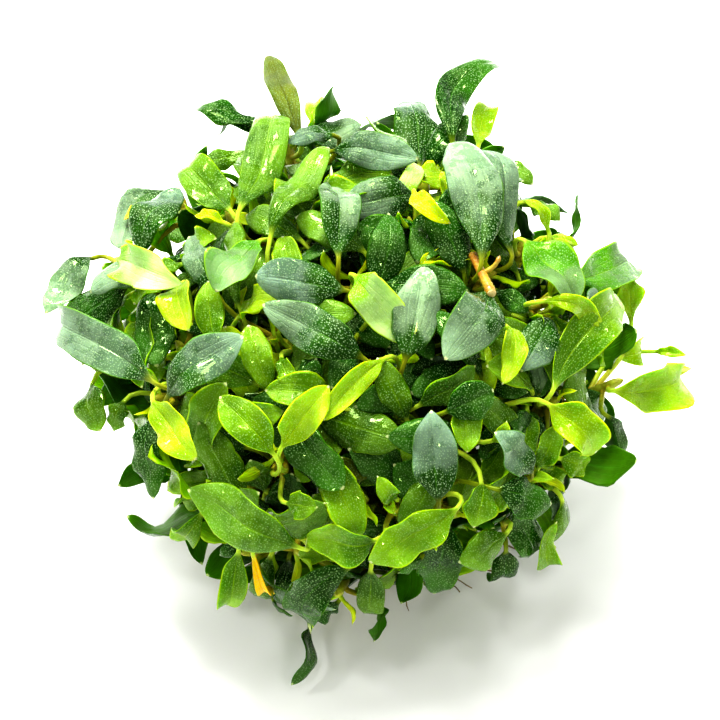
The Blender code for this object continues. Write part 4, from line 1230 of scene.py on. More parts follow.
@dataclass(frozen=True)
class LeafShape:
    """The numbers of the leaf tree, as shares of a blade's length or half width where they are places.

    A cloud has its steps along the blade, its step from leaf to leaf and its scale.
    """

    end_crowding: float = 0.08
    rim_crowding: float = 1.6
    flat_from: tuple = (0.0, 0.2)
    thin_from: tuple = (0.0, 0.35)
    shoulder: tuple = (-0.13, 0.27)
    outline_cloud: tuple = (3.0, 90.0, 1.3)
    relief_cloud: tuple = (2.6, 60.0, 1.1)
    petiole_flare: float = 0.3
    end_closing: float = 10.0
    rim_roundness: float = 0.7
    least_curl: float = 0.001
    side_shift: float = 1.7
    ripple_rise: float = 2.2
    groove_width: float = 0.1
    groove_fade: float = 3.0
    bow_turns: float = 0.85
    point_from: tuple = (0.97, 1.0)
    upper_from: tuple = (-0.1, 0.1)
    same_place: float = 0.004 * MM


SHAPE = LeafShape()


class LeafMaker:
    """Shapes leaves from their places by one tree of geometry nodes, and dresses each in its tone."""

    VECTORS = ("base", "middle", "tip", "foot", "push", "pull", "side")
    NUMBERS = (
        "width", "curl", "fold", "ripple", "waves", "phase", "twist", "bow", "widest", "fullness", "seed",
        "tone",
    )
    SIZES = {
        "Petiole share": 0.24, "Petiole radius": 0.32 * MM, "Blade thickness": 0.34 * MM,
        "Groove depth": 0.16 * MM, "Point length": 0.3 * MM, "Unevenness": 0.4, "Uneven outline": 0.3,
    }
    WAVES = (1.1, 2.4)
    BOWS = (0.15, 0.55)
    WIDEST = (0.95, 1.25)
    FULLNESS = (0.46, 0.66)
    TONE_MARGIN = 0.4

    def __init__(self, finishes: dict):
        self.finishes = {f"Finish {tone.value}": finish for tone, finish in finishes.items()}
        self.tree = self.rule()

    def middle_line(self, sheet: NodeSheet, above: Value, below: Value, on_blade: Value) -> tuple:
        """Point and direction of the leaf's middle line.

        Args:
            sheet: The tree's sheet.
            above: Share of the blade's length.
            below: Share of the petiole's length, down from the blade.
            on_blade: 1 on the blade and 0 on the petiole.

        Returns:
            The values of the point and of the direction.
        """
        base, middle, tip, foot, push, pull = (sheet.field(name, "FLOAT_VECTOR") for name in self.VECTORS[:6])
        first, second = sheet.blend(above, base, middle), sheet.blend(above, middle, tip)
        up = 1.0 - below
        low, mid, high = (sheet.blend(up, *pair) for pair in ((foot, push), (push, pull), (pull, base)))
        lower, upper = sheet.blend(up, low, mid), sheet.blend(up, mid, high)
        point = sheet.blend(on_blade, sheet.blend(up, lower, upper), sheet.blend(above, first, second))
        ways = (sheet.vector("SUBTRACT", upper, lower), sheet.vector("SUBTRACT", second, first))
        return point, sheet.vector("NORMALIZE", sheet.blend(on_blade, *ways))

    def tubes(self, sheet: NodeSheet, given: dict) -> Value:
        """A straight tube for every leaf's point, whose own places are kept as its sections."""
        feeds = {"Vertices": given["Around"], "Side Segments": given["Stations"], "Radius": 1.0, "Depth": 2.0}
        tube = sheet.result("GeometryNodeMeshCylinder", feeds, fill_type="NGON")
        tube = sheet.store(tube, "section", sheet.result("GeometryNodeInputPosition"), "FLOAT_VECTOR")
        tubes = sheet.result("GeometryNodeInstanceOnPoints", {"Points": given["Points"], "Instance": tube})
        return sheet.shape("RealizeInstances", tubes)

    def uneven(self, sheet: NodeSheet, cloud: tuple, above: Value, across: Value) -> Value:
        """Uneven values around 0 that differ along a leaf, across it and from leaf to leaf."""
        along, step, scale = cloud
        return sheet.cloud(scale, sheet.whole(above * along, across, sheet.field("seed") * step)) - 0.5

    def rule(self) -> bpy.types.NodeTree:
        """The tree that makes closed leaves, each with its petiole, from points that hold their measures."""
        ins = {"Geometry": ["Points"], "Int": ["Around", "Stations"]}
        ins |= {"Float": self.SIZES, "Material": self.finishes}
        sheet, given, result = new_group("leaf rule", "GeometryNodeTree", ins, {"Geometry": ["Leaves"]})
        fact = {name: sheet.field(name) for name in self.NUMBERS}
        tubes = self.tubes(sheet, given)

        # Where a point lies on its leaf: along the blade, down the petiole and across
        across, rise, height = sheet.parts(sheet.field("section", "FLOAT_VECTOR"))
        height = height * 0.5 + 0.5
        split = given["Petiole share"]
        below = (1.0 - height / split).clamped()
        above = ((height - split) / (1.0 - split)).clamped()
        above = (above - sheet.math("SINE", above * TURN) * SHAPE.end_crowding).clamped()
        flat = sheet.ramp(above, *SHAPE.flat_from)
        sign = sheet.math("SIGN", across)
        place = sheet.blend(flat, across, sign * abs(across) ** SHAPE.rim_crowding, "FLOAT")
        beside = abs(place)

        # The middle line and the directions square to it
        point, way = self.middle_line(sheet, above, below, sheet.math("GREATER_THAN", height, split))
        up = sheet.vector("CROSS_PRODUCT", sheet.field("side", "FLOAT_VECTOR"), way)
        up = sheet.vector("NORMALIZE", up)
        feeds = {"Vector": up, "Axis": way, "Angle": fact["twist"] * above}
        up = sheet.result("ShaderNodeVectorRotate", feeds, rotation_type="AXIS_ANGLE")
        left = sheet.vector("CROSS_PRODUCT", up, way)

        # Half width and thickness
        outline = sheet.math("SINE", above ** fact["widest"] * math.pi)
        outline = sheet.math("MAXIMUM", outline, 0.0) ** fact["fullness"] * sheet.ramp(above, *SHAPE.shoulder)
        uneven = self.uneven(sheet, SHAPE.outline_cloud, above, sign)
        blade = fact["width"] * 0.5 * (outline * (uneven * given["Uneven outline"] + 1.0))
        stalk = (below * SHAPE.petiole_flare + 1.0) * given["Petiole radius"] * (1.0 - above)
        half = sheet.math("SQRT", blade * blade + stalk * stalk)
        plate = given["Blade thickness"] * 0.5
        thick = sheet.blend(sheet.ramp(above, *SHAPE.thin_from), stalk, plate, "FLOAT")
        thick = thick * sheet.math("SQRT", 1.0 - above**SHAPE.end_closing)
        rounded = sheet.math("SIGN", rise) * abs(rise) ** SHAPE.rim_roundness
        thick = thick * sheet.blend(flat, rise, rounded, "FLOAT")

        # How far a point lies beside and over the middle line: curl, fold, ripple, groove, unevenness and bow
        curl = fact["curl"] * flat + SHAPE.least_curl
        sine, cosine = sheet.math("SINE", place * curl), sheet.math("COSINE", place * curl)
        reach = half / curl
        sideways = reach * sine - thick * sine
        lift = thick * cosine + reach * (1.0 - cosine) + fact["fold"] * flat * half * beside
        wave = sheet.math("SINE", sign * SHAPE.side_shift + (fact["waves"] * TURN * above + fact["phase"]))
        lift = lift + wave * (fact["ripple"] * beside**SHAPE.ripple_rise * (flat * half))
        groove = sheet.math("EXPONENT", (place / SHAPE.groove_width) ** 2.0 * -1.0)
        groove = groove * given["Groove depth"] * flat * (1.0 - above**SHAPE.groove_fade)
        uneven = self.uneven(sheet, SHAPE.relief_cloud, above, place) * given["Unevenness"]
        bow = sheet.math("SINE", above * (TURN * SHAPE.bow_turns) + fact["phase"]) * (above * (1.0 - above))
        lift = lift - groove + uneven * half * flat + bow * fact["bow"]

        ahead = sheet.ramp(above, *SHAPE.point_from) * given["Point length"]
        for direction, distance in ((left, sideways), (up, lift), (way, ahead)):
            point = sheet.vector("ADD", point, sheet.vector("SCALE", direction, distance))
        leaves = sheet.shape("SetPosition", tubes, {"Position": point})
        leaves = sheet.store(leaves, "along", above - below)
        leaves = sheet.store(leaves, "across", place)
        long = sheet.vector("DISTANCE", *(sheet.field(name, "FLOAT_VECTOR") for name in ("base", "tip")))
        leaves = sheet.store(leaves, "spread", sheet.whole(above * long, place * half), "FLOAT_VECTOR")
        leaves = sheet.store(leaves, "upper", sheet.ramp(rise, *SHAPE.upper_from))
        leaves = sheet.shape("MergeByDistance", leaves, {"Distance": SHAPE.same_place})
        leaves = sheet.shape("SetShadeSmooth", leaves)
        for number, finish in enumerate(self.finishes):
            chosen = sheet.math("COMPARE", fact["tone"], float(number), self.TONE_MARGIN)
            leaves = sheet.shape("SetMaterial", leaves, {"Selection": chosen, "Material": given[finish]})
        sheet.feed(result, {"Leaves": leaves})
        return sheet.tree

    def measures(self, growth: Growth) -> dict:
        """What one leaf's point holds.

        Args:
            growth: The leaf in its place.

        Returns:
            Its measures by name.
        """
        form, blade = growth.form, growth.form.blade
        chance = random.Random(growth.number)
        habit = HABITS[blade.tone]
        curl = chance.uniform(*habit.curl)
        pull, push = form.petiole_pulls()
        foot = form.foot
        if blade.large:
            foot = foot - form.foot_out * (growth.twig.radius + TWIG.gap)
        return {
            "base": form.base,
            "middle": form.middle,
            "tip": form.tip,
            "foot": foot,
            "push": push,
            "pull": pull,
            "side": form.side,
            "width": blade.width * curl / math.sin(curl),
            "curl": curl,
            "fold": chance.uniform(*habit.fold),
            "ripple": chance.uniform(*habit.ripple),
            "waves": chance.uniform(*self.WAVES),
            "phase": chance.uniform(0.0, TURN),
            "twist": chance.uniform(*habit.twist),
            "bow": form.length * chance.uniform(*self.BOWS) * growth.bow,
            "widest": chance.uniform(*self.WIDEST),
            "fullness": chance.uniform(*self.FULLNESS),
            "seed": chance.random(),
            "tone": float(list(LEAF_FINISHES).index(blade.tone)),
        }

    def make(self, name: str, growths: list, around_it: int, stations: int) -> bpy.types.Object:
        """One piece of the given leaves.

        Args:
            name: The piece's name.
            growths: Its leaves in their places.
            around_it: How many corners a leaf's section has.
            stations: How many sections a leaf has.

        Returns:
            The finished piece.
        """
        measures = [self.measures(growth) for growth in growths]
        mesh = bpy.data.meshes.new(f"{name}_points")
        mesh.from_pydata([tuple(facts["base"]) for facts in measures], [], [])
        for key in self.VECTORS:
            values = [number for facts in measures for number in facts[key]]
            mesh.attributes.new(key, "FLOAT_VECTOR", "POINT").data.foreach_set("vector", values)
        for key in self.NUMBERS:
            values = [facts[key] for facts in measures]
            mesh.attributes.new(key, "FLOAT", "POINT").data.foreach_set("value", values)
        values = {"Around": around_it, "Stations": stations} | self.SIZES | self.finishes
        piece = grown_piece(name, mesh, self.tree, values)
        attributes = piece.data.attributes
        for key in (*self.VECTORS, *self.NUMBERS, "section"):
            if key in attributes and key != "seed":
                attributes.remove(attributes[key])
        keep_inside(piece)
        return piece


def keep_inside(piece: bpy.types.Object) -> None:
    """Bend back the leaves of a piece that would reach out of the frame's box, the most at their tips."""
    rounds = 5
    mesh = piece.data
    points, along, seeds = (np.empty(len(mesh.vertices) * size) for size in (3, 1, 1))
    mesh.vertices.foreach_get("co", points)
    mesh.attributes["along"].data.foreach_get("value", along)
    mesh.attributes["seed"].data.foreach_get("value", seeds)
    points = points.reshape(-1, 3)
    low, high = (np.array(corner) for corner in CAD_BOX)
    share = np.clip(along, 0.0, 1.0)
    for own in (seeds == seed for seed in np.unique(seeds)):
        for _ in range(rounds):
            out_high = np.clip(points[own].max(axis=0) - high, 0.0, None)
            out_low = np.clip(low - points[own].min(axis=0), 0.0, None)
            points[own] -= (out_high - out_low) * share[own][:, None]
    mesh.vertices.foreach_set("co", np.clip(points, low, high).ravel())


@dataclass(frozen=True)
class StemLook:
    """How stems of a kind are made: corners round them, and their steps, leaf scars and wobble, in mm."""

    sides: int
    step: float
    ring_pitch: float
    ring_height: float
    wobble: float
    wobble_scale: float

    def values(self, finish: bpy.types.Material) -> dict:
        """The inputs of the stem tree, by their names."""
        return {
            "Sides": self.sides,
            "Step": self.step * MM,
            "Ring pitch": self.ring_pitch * MM,
            "Ring height": self.ring_height,
            "Wobble": self.wobble * MM,
            "Wobble scale": self.wobble_scale,
            "Finish": finish,
        }


class StemMaker:
    """Makes stems, rhizomes and roots along their middle lines by one tree of geometry nodes."""

    RING_SHARPNESS = 6.0

    def __init__(self) -> None:
        numbers = ("Step", "Ring pitch", "Ring height", "Wobble", "Wobble scale")
        ins = {"Geometry": ["Lines"], "Int": ["Sides"], "Float": numbers, "Material": ["Finish"]}
        sheet, given, result = new_group("stem rule", "GeometryNodeTree", ins, {"Geometry": ["Stems"]})
        curves = sheet.result("GeometryNodeMeshToCurve", {"Mesh": given["Lines"]})
        lines = sheet.add("GeometryNodeResampleCurve", mode="LENGTH")
        sheet.feed(lines, {"Curve": curves, "Length": given["Step"]})
        length = sheet.out(sheet.add("GeometryNodeSplineParameter"), "Length")
        ring = sheet.math("SINE", length / given["Ring pitch"] * TURN)
        ring = sheet.math("MAXIMUM", ring, 0.0) ** self.RING_SHARPNESS
        girth = (ring * given["Ring height"] + 1.0) * sheet.field("girth")
        feeds = {"Resolution": given["Sides"], "Radius": 1.0}
        circle = sheet.result("GeometryNodeCurvePrimitiveCircle", feeds)
        feeds = {"Curve": sheet.out(lines), "Profile Curve": circle, "Scale": girth, "Fill Caps": True}
        stems = sheet.result("GeometryNodeCurveToMesh", feeds)
        cloud = sheet.cloud(given["Wobble scale"], sheet.result("GeometryNodeInputPosition")) - 0.5
        offset = sheet.vector("SCALE", sheet.result("GeometryNodeInputNormal"), cloud * given["Wobble"])
        stems = sheet.shape("SetPosition", stems, {"Offset": offset})
        stems = sheet.shape("SetShadeSmooth", sheet.shape("RealizeInstances", stems))
        sheet.feed(result, {"Stems": sheet.shape("SetMaterial", stems, {"Material": given["Finish"]})})
        self.tree = sheet.tree

    def make(self, name: str, lines: list, values: dict) -> bpy.types.Object:
        """One piece of stems.

        Args:
            name: The piece's name.
            lines: Each stem's points with the radius there.
            values: The tree's inputs, by their names.

        Returns:
            The finished piece.
        """
        points, edges, girths = [], [], []
        for line in lines:
            first = len(points)
            points += [tuple(point) for point, girth in line]
            girths += [girth for point, girth in line]
            edges += [(first + k, first + k + 1) for k in range(len(line) - 1)]
        mesh = bpy.data.meshes.new(f"{name}_lines")
        mesh.from_pydata(points, edges, [])
        mesh.attributes.new("girth", "FLOAT", "POINT").data.foreach_set("value", girths)
        return grown_piece(name, mesh, self.tree, values)


@dataclass(frozen=True)
class Markings:
    """The numbers of a leaf's markings.

    They are scales of clouds, edges along a leaf or across its half width, and how much each marking counts.
    """

    mottle: float = 420.0
    patch: float = 150.0
    fine: float = 2600.0
    wetness: float = 800.0
    spill: tuple = (520.0, 5.0, 0.62)
    spill_patch: float = 0.7
    film_blur: float = 0.06
    rib: tuple = (0.07, 0.012)
    rib_fade: tuple = (1.0, 0.6)
    rib_share: float = 0.5
    vein_steps: tuple = (3.6, 0.9, 0.4)
    vein: tuple = (0.3, 0.5)
    vein_fade: tuple = (1.0, 0.4)
    vein_share: float = 0.16
    dot_scale: float = 3000.0
    dot_unevenness: float = 0.9
    dot_sizes: tuple = (0.24, 0.15)
    dot_blur: float = 0.12
    dots_from: tuple = (0.02, 0.12)
    stalk: tuple = (0.09, -0.03)
    old_stalk: tuple = (-0.35, -1.0)
    point: tuple = (0.975, 0.99)
    point_fade: tuple = (0.4, 0.25)
    point_share: float = 0.85
    chances: tuple = (37.0, 71.0, 29.0, 53.0)
    clouds_share: float = 1.1
    # Each leaf's green runs darker at the base and lighter at the tip, partly as painted shade
    second_along: tuple = (0.3, 0.5)
    second: tuple = (0.75, 1.55)
    # The pale bloom with painted sheen: its middle and slope along the blade, its halves, clouds, leaves,
    # dots and wetness
    sheen_and_bloom_middle: float = 0.46
    sheen_and_bloom_along: float = 1.5
    sheen_and_bloom_half: float = 0.35
    sheen_and_bloom_patch: float = 1.3
    sheen_and_bloom_mottle: float = 0.7
    sheen_and_bloom_leaf: float = 0.7
    sheen_and_bloom_leaves: float = 0.4
    sheen_and_bloom_dots: float = 0.12
    sheen_and_bloom_wet: float = -0.3
    pearl: tuple = (-0.08, 0.2)
    # A painted glare brightens the sheen where it is strongest
    glare: tuple = (0.1, 1.0)
    least_glare: float = 0.75
    speck_share: float = 0.4
    # The pale rim, partly the margin's own green and partly a painted edge highlight
    rim: tuple = (0.9, 0.98)
    rim_and_highlight_share: float = 0.6
    under_lines: tuple = (0.6, 0.3)
    under_shade: float = 0.1
    # A cooler tint of the painted sheen on some leaves
    cool: tuple = (0.76, 0.78, 1.0)
    rim_lightness: float = 1.7
    speck_colour: tuple = (0.50, 0.70, 0.40, 1.0)
    old_stalk_colour: tuple = (0.46, 0.36, 0.03, 1.0)
    point_colour: tuple = (0.66, 0.76, 0.36, 1.0)
    film_roughness: float = 0.05
    grain_roughness: tuple = (0.1, 0.12)
    grain_height: tuple = (0.05, 0.1)
    mottle_height: float = 0.45
    vein_depth: float = 0.25
    rib_depth: float = 0.6
    film_height: tuple = (0.3, 0.25)
    film_smoothing: float = 0.85


MARKS = Markings()


def surface_group() -> bpy.types.NodeTree:
    """The group of a leaf's markings: midrib, veins, pale bloom with painted sheen, fine dots, wet film,
    petiole and pale point.
    """
    ins = {"Color": LeafFinish.COLOURS, "Float": LeafFinish.NUMBERS}
    outs = {"Color": ["Color"], "Float": ["Roughness", "Height"]}
    sheet, given, result = new_group("leaf markings", "ShaderNodeTree", ins, outs)

    def fact(name: str, output: str = "Fac") -> Value:
        """One of the leaf's own facts."""
        node = sheet.add("ShaderNodeAttribute", attribute_name=name, attribute_type="GEOMETRY")
        return sheet.out(node, output)

    def colour_blend(share: object, first: object, second: object) -> Value:
        """A colour between two others, by a share from 0 to 1."""
        return sheet.blend(share, first, second, "RGBA")

    along, across, upper, seed = (fact(name) for name in ("along", "across", "upper", "seed"))
    turned, leaning, pearly, cooler = (sheet.math("FRACT", seed * factor) for factor in MARKS.chances)
    beside = abs(across)
    own_start = sheet.whole(seed, seed, seed)
    own = sheet.vector("ADD", sheet.out(sheet.add("ShaderNodeTexCoord"), "Object"), own_start)
    mottle, patch, fine = (sheet.cloud(scale, own) for scale in (MARKS.mottle, MARKS.patch, MARKS.fine))

    # The film of wetness, the midrib, the veins, the fine dots, the petiole and the pale point
    spill = dict(zip(("Scale", "Detail", "Roughness"), MARKS.spill))
    spill = (patch - 0.5) * MARKS.spill_patch + sheet.result("ShaderNodeTexNoise", {"Vector": own} | spill)
    film = ((spill - given["Film edge"]) / MARKS.film_blur).clamped() * upper
    rib = sheet.ramp(beside, *MARKS.rib) * sheet.ramp(along, *MARKS.rib_fade)
    out_step, along_step, mottle_step = MARKS.vein_steps
    vein = beside * out_step - along * along_step + mottle * mottle_step
    vein = abs(sheet.math("FRACT", vein) - 0.5)
    vein = sheet.ramp(vein, *MARKS.vein) * sheet.ramp(beside, *MARKS.vein_fade)
    feeds = {"Vector": sheet.vector("ADD", fact("spread", "Vector"), own_start), "Scale": MARKS.dot_scale}
    feeds["Randomness"] = MARKS.dot_unevenness
    cells = sheet.add("ShaderNodeTexVoronoi", feeds, voronoi_dimensions="2D")
    size = sheet.parts(sheet.out(cells, "Color"))[0] * MARKS.dot_sizes[0] + MARKS.dot_sizes[1]
    dots = ((size - sheet.out(cells, "Distance")) / MARKS.dot_blur).clamped()
    dots = dots * (upper * sheet.ramp(along, *MARKS.dots_from))
    stalk = sheet.ramp(along, *MARKS.stalk)
    point = sheet.ramp(along, *MARKS.point) * sheet.ramp(beside, *MARKS.point_fade)

    # The leaf's green in clouds, darker at its base and lighter towards its tip partly as painted shade, with
    # its veins
    clouds = (patch + mottle) * MARKS.clouds_share
    by_leaf, always = MARKS.second_along
    shade = (along - 0.5) * (sheet.math("SIGN", turned - 0.5) * by_leaf + always) + clouds
    colour = colour_blend(sheet.ramp(shade, *MARKS.second), given["Main"], given["Second"])
    colour = colour_blend(vein * MARKS.vein_share, colour, given["Rib"])
    colour = colour_blend(rib * MARKS.rib_share, colour, given["Rib"])

    # The pale sheen, part pearly bloom and part painted sheen, which differs by half and by leaf and takes a
    # painted glare where it is strongest, and the dots
    half = sheet.math("SIGN", across) * (leaning - 0.5)
    level = half * MARKS.sheen_and_bloom_half + (along - MARKS.sheen_and_bloom_middle) * MARKS.sheen_and_bloom_along
    level = (patch - 0.5) * MARKS.sheen_and_bloom_patch + level
    level = (mottle - 0.5) * MARKS.sheen_and_bloom_mottle + level
    level = (pearly - MARKS.sheen_and_bloom_leaves) * MARKS.sheen_and_bloom_leaf + level
    pearl = sheet.ramp(dots * MARKS.sheen_and_bloom_dots + level, *MARKS.pearl)
    pearl = pearl * upper * given["Sheen_and_bloom share"] * (film * MARKS.sheen_and_bloom_wet + 1.0)
    sheen = colour_blend(cooler, given["Pearl"], sheet.vector("MULTIPLY", given["Pearl"], MARKS.cool))
    sheen = sheet.vector("SCALE", sheen, sheet.ramp(level, *MARKS.glare) + MARKS.least_glare)
    # Lay the painted sheen and bloom over the leaf's green
    colour = colour_blend(pearl, colour, sheen)
    speck = colour_blend(MARKS.speck_share, given["Pearl"], MARKS.speck_colour)
    colour = colour_blend(dots * ((pearl * -0.5 + 1.0) * given["Stipple"]), colour, speck)

    # The pale rim, partly the margin's own lighter green and partly a painted edge highlight; then the
    # underside, the petiole and the point
    rim = sheet.vector("MULTIPLY", given["Rib"], (MARKS.rim_lightness,) * 3)
    colour = colour_blend(sheet.ramp(beside, *MARKS.rim) * MARKS.rim_and_highlight_share, colour, rim)
    under = sheet.vector("SCALE", given["Under"], clouds - MARKS.under_shade)
    under = colour_blend(rib * MARKS.under_lines[0] + vein * MARKS.under_lines[1], under, rim)
    colour = colour_blend(1.0 - upper, colour, under)
    petiole = colour_blend(sheet.ramp(along, *MARKS.old_stalk), given["Stalk"], MARKS.old_stalk_colour)
    colour = colour_blend(stalk, colour, petiole)
    colour = colour_blend(point * MARKS.point_share, colour, MARKS.point_colour)

    # Roughness, and the relief that the film smooths
    fine_share, dots_share = MARKS.grain_roughness
    rough = dots * dots_share + (fine * fine_share + given["Dullness"])
    rough = sheet.blend(film, rough, MARKS.film_roughness, "FLOAT")
    fine_share, dots_share = MARKS.grain_height
    grain = (fine * fine_share + dots * dots_share) * (1.0 - film)
    height = mottle * MARKS.mottle_height + grain - vein * MARKS.vein_depth
    height = height * (film * -MARKS.film_smoothing + 1.0)
    uneven, level = MARKS.film_height
    height = film * (sheet.cloud(MARKS.wetness, own) * uneven + level) + height
    sheet.feed(result, {"Color": colour, "Roughness": rough, "Height": height - rib * MARKS.rib_depth})
    return sheet.tree


def new_material(name: str) -> tuple:
    """A new material, its sheet and its shader."""
    material = bpy.data.materials.new(name)
    material.use_nodes = True
    return material, NodeSheet(material.node_tree), material.node_tree.nodes["Principled BSDF"]


@dataclass(frozen=True)
class LeafFinish:
    """One tone's waxy leaf skin: pale places of bloom and painted sheen, between sharp-edged places under a
    film of wetness.
    """

    main: tuple
    second: tuple
    rib: tuple
    under: tuple
    stalk: tuple = (0.46, 0.60, 0.05)
    # The pale colour of bloom and painted sheen, and how much of it shows
    pearl: tuple = (0.16, 0.25, 0.21)
    sheen_and_bloom_share: float = 0.0
    stipple: float = 0.3
    dullness: float = 0.3
    film_edge: float = 0.5
    glow: float = 0.1

    COLOURS = ("Main", "Second", "Rib", "Stalk", "Under", "Pearl")
    NUMBERS = ("Sheen_and_bloom share", "Stipple", "Dullness", "Film edge")
    RELIEF = {"Strength": 0.8, "Distance": 0.16 * MM}
    SKIN = {
        "Specular IOR Level": 0.32, "Specular Tint": (0.70, 1.0, 0.34, 1.0),
        "Subsurface Radius": (0.5, 1.0, 0.06), "Subsurface Scale": 1.2 * MM,
    }

    def material(self, name: str, markings: bpy.types.NodeTree) -> bpy.types.Material:
        """The tone's material.

        Args:
            name: The material's name.
            markings: The group of a leaf's markings.

        Returns:
            The material.
        """
        material, sheet, shader = new_material(name)
        group = sheet.add("ShaderNodeGroup", node_tree=markings)
        sheet.feed(group, {key: (*getattr(self, key.lower()), 1.0) for key in self.COLOURS})
        sheet.feed(group, {key: getattr(self, key.lower().replace(" ", "_")) for key in self.NUMBERS})
        relief = sheet.result("ShaderNodeBump", {"Height": sheet.out(group, "Height")} | self.RELIEF)
        feeds = {"Base Color": sheet.out(group, "Color"), "Roughness": sheet.out(group, "Roughness")}
        sheet.feed(shader, feeds | {"Normal": relief, "Subsurface Weight": self.glow} | self.SKIN)
        return material


@dataclass(frozen=True)
class BarkFinish:
    """The skin of stems, rhizomes and roots: two colours in clouds and fine lengthwise grain."""

    light: tuple
    dark: tuple
    scale: float
    roughness: float

    FINER = 6.0
    FINE_SHARE = 0.4
    CHANGE = (0.35, 0.65)
    FINE_ROUGHNESS = 0.2
    COAT = 0.2
    RELIEF = {"Strength": 0.7, "Distance": 0.15 * MM}

    def material(self, name: str) -> bpy.types.Material:
        """The material of this skin."""
        material, sheet, shader = new_material(name)
        where = sheet.out(sheet.add("ShaderNodeTexCoord"), "Object")
        cloud, fine = sheet.cloud(self.scale, where), sheet.cloud(self.scale * self.FINER, where)
        mask = sheet.ramp(fine * self.FINE_SHARE + cloud * (1.0 - self.FINE_SHARE), *self.CHANGE)
        colour = sheet.blend(mask, (*self.dark, 1.0), (*self.light, 1.0), "RGBA")
        relief = sheet.result("ShaderNodeBump", {"Height": fine} | self.RELIEF)
        feeds = {"Base Color": colour, "Roughness": fine * self.FINE_ROUGHNESS + self.roughness}
        sheet.feed(shader, feeds | {"Normal": relief, "Coat Weight": self.COAT})
        return material


# The sheen, pearly and pale tones carry the most pale bloom with painted sheen; the dark one carries less
LEAF_FINISHES = {
    DARK: LeafFinish(
        (0.002, 0.025, 0.0003), (0.013, 0.076, 0.0005), (0.030, 0.120, 0.003), (0.045, 0.150, 0.001),
        stalk=(0.20, 0.26, 0.01), pearl=(0.060, 0.150, 0.018), sheen_and_bloom_share=0.4, stipple=0.55, dullness=0.42,
        film_edge=0.41,
    ),
    SHEEN: LeafFinish(
        (0.003, 0.030, 0.0005), (0.018, 0.088, 0.001), (0.045, 0.150, 0.008), (0.060, 0.170, 0.003),
        stalk=(0.24, 0.26, 0.01), pearl=(0.140, 0.205, 0.115), sheen_and_bloom_share=0.95, stipple=0.7, dullness=0.42,
        film_edge=0.51,
    ),
    GREEN: LeafFinish(
        (0.022, 0.075, 0.0002), (0.088, 0.180, 0.0002), (0.140, 0.270, 0.001), (0.115, 0.240, 0.001),
        pearl=(0.150, 0.280, 0.030), sheen_and_bloom_share=0.4, stipple=0.45, dullness=0.4, film_edge=0.47, glow=0.2,
    ),
    BRIGHT: LeafFinish(
        (0.050, 0.130, 0.0002), (0.135, 0.262, 0.0002), (0.240, 0.400, 0.001), (0.200, 0.360, 0.001),
        pearl=(0.210, 0.350, 0.020), sheen_and_bloom_share=0.35, stipple=0.4, dullness=0.4, film_edge=0.47, glow=0.3,
    ),
    LIME: LeafFinish(
        (0.155, 0.260, 0.0003), (0.260, 0.385, 0.0005), (0.360, 0.520, 0.002), (0.290, 0.440, 0.0005),
        pearl=(0.340, 0.500, 0.030), sheen_and_bloom_share=0.3, stipple=0.35, dullness=0.38, film_edge=0.49, glow=0.45,
    ),
    YELLOW: LeafFinish(
        (0.320, 0.440, 0.001), (0.430, 0.530, 0.002), (0.450, 0.500, 0.006), (0.400, 0.480, 0.002), glow=0.5,
    ),
    YOLK: LeafFinish(
        (0.640, 0.490, 0.003), (0.720, 0.580, 0.006), (0.680, 0.400, 0.006), (0.620, 0.470, 0.004), glow=0.4,
    ),
    ORANGE: LeafFinish(
        (0.760, 0.460, 0.004), (0.850, 0.640, 0.006), (0.620, 0.260, 0.005), (0.700, 0.420, 0.004), glow=0.3,
    ),
    OLIVE: LeafFinish(
        (0.045, 0.058, 0.0002), (0.095, 0.115, 0.0003), (0.060, 0.070, 0.0005), (0.090, 0.115, 0.0005),
        stipple=0.25, dullness=0.45, film_edge=0.8, glow=0.25,
    ),
    PEARLY: LeafFinish(
        (0.030, 0.140, 0.0005), (0.100, 0.280, 0.001), (0.150, 0.320, 0.004), (0.120, 0.290, 0.001),
        pearl=(0.140, 0.220, 0.085), sheen_and_bloom_share=0.85, stipple=0.5, dullness=0.4, film_edge=0.57, glow=0.2,
    ),
    PALE: LeafFinish(
        (0.140, 0.330, 0.0005), (0.280, 0.480, 0.004), (0.310, 0.500, 0.010), (0.270, 0.470, 0.002),
        pearl=(0.360, 0.520, 0.160), sheen_and_bloom_share=0.9, stipple=0.5, dullness=0.4, film_edge=0.6, glow=0.35,
    ),
}
STEM_SKIN = BarkFinish((0.50, 0.58, 0.04), (0.36, 0.30, 0.02), 500.0, 0.35)
RHIZOME_SKIN = BarkFinish((0.34, 0.19, 0.06), (0.13, 0.06, 0.02), 320.0, 0.45)
OLD_STEM_SKIN = BarkFinish((0.36, 0.28, 0.02), (0.34, 0.12, 0.01), 420.0, 0.35)
CUT_SKIN = BarkFinish((0.70, 0.58, 0.26), (0.50, 0.36, 0.12), 1500.0, 0.5)
ROOT_SKIN = BarkFinish((0.36, 0.27, 0.13), (0.12, 0.07, 0.03), 600.0, 0.5)


def finish_piece(piece: bpy.types.Object, node: str) -> None:
    """Let a piece stand for its node, on the clump's one body, and report it."""
    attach(piece, "root")
    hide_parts(node)
    log.info("%s: %d faces for %s", piece.name, len(piece.data.polygons), node)


def build_leaves(plant: Plant, maker: LeafMaker) -> None:
    """Make a piece of each large leaf, and one of all the leaves of each shoot.

    Args:
        plant: The plant with its leaves in their places.
        maker: What shapes and dresses them.
    """
    for node in sorted({growth.node for growth in plant.leaves}):
        growths = [growth for growth in plant.leaves if growth.node == node]
        if node.startswith("leaf"):
            piece = maker.make(f"{node}_blade", growths, around_it=20, stations=34)
        else:
            piece = maker.make(f"{node}_leaves", growths, around_it=14, stations=24)
        tones = [growth.form.blade.tone for growth in growths]
        tone = max(reversed(Tone), key=tones.count)
        finish_piece(piece, node)


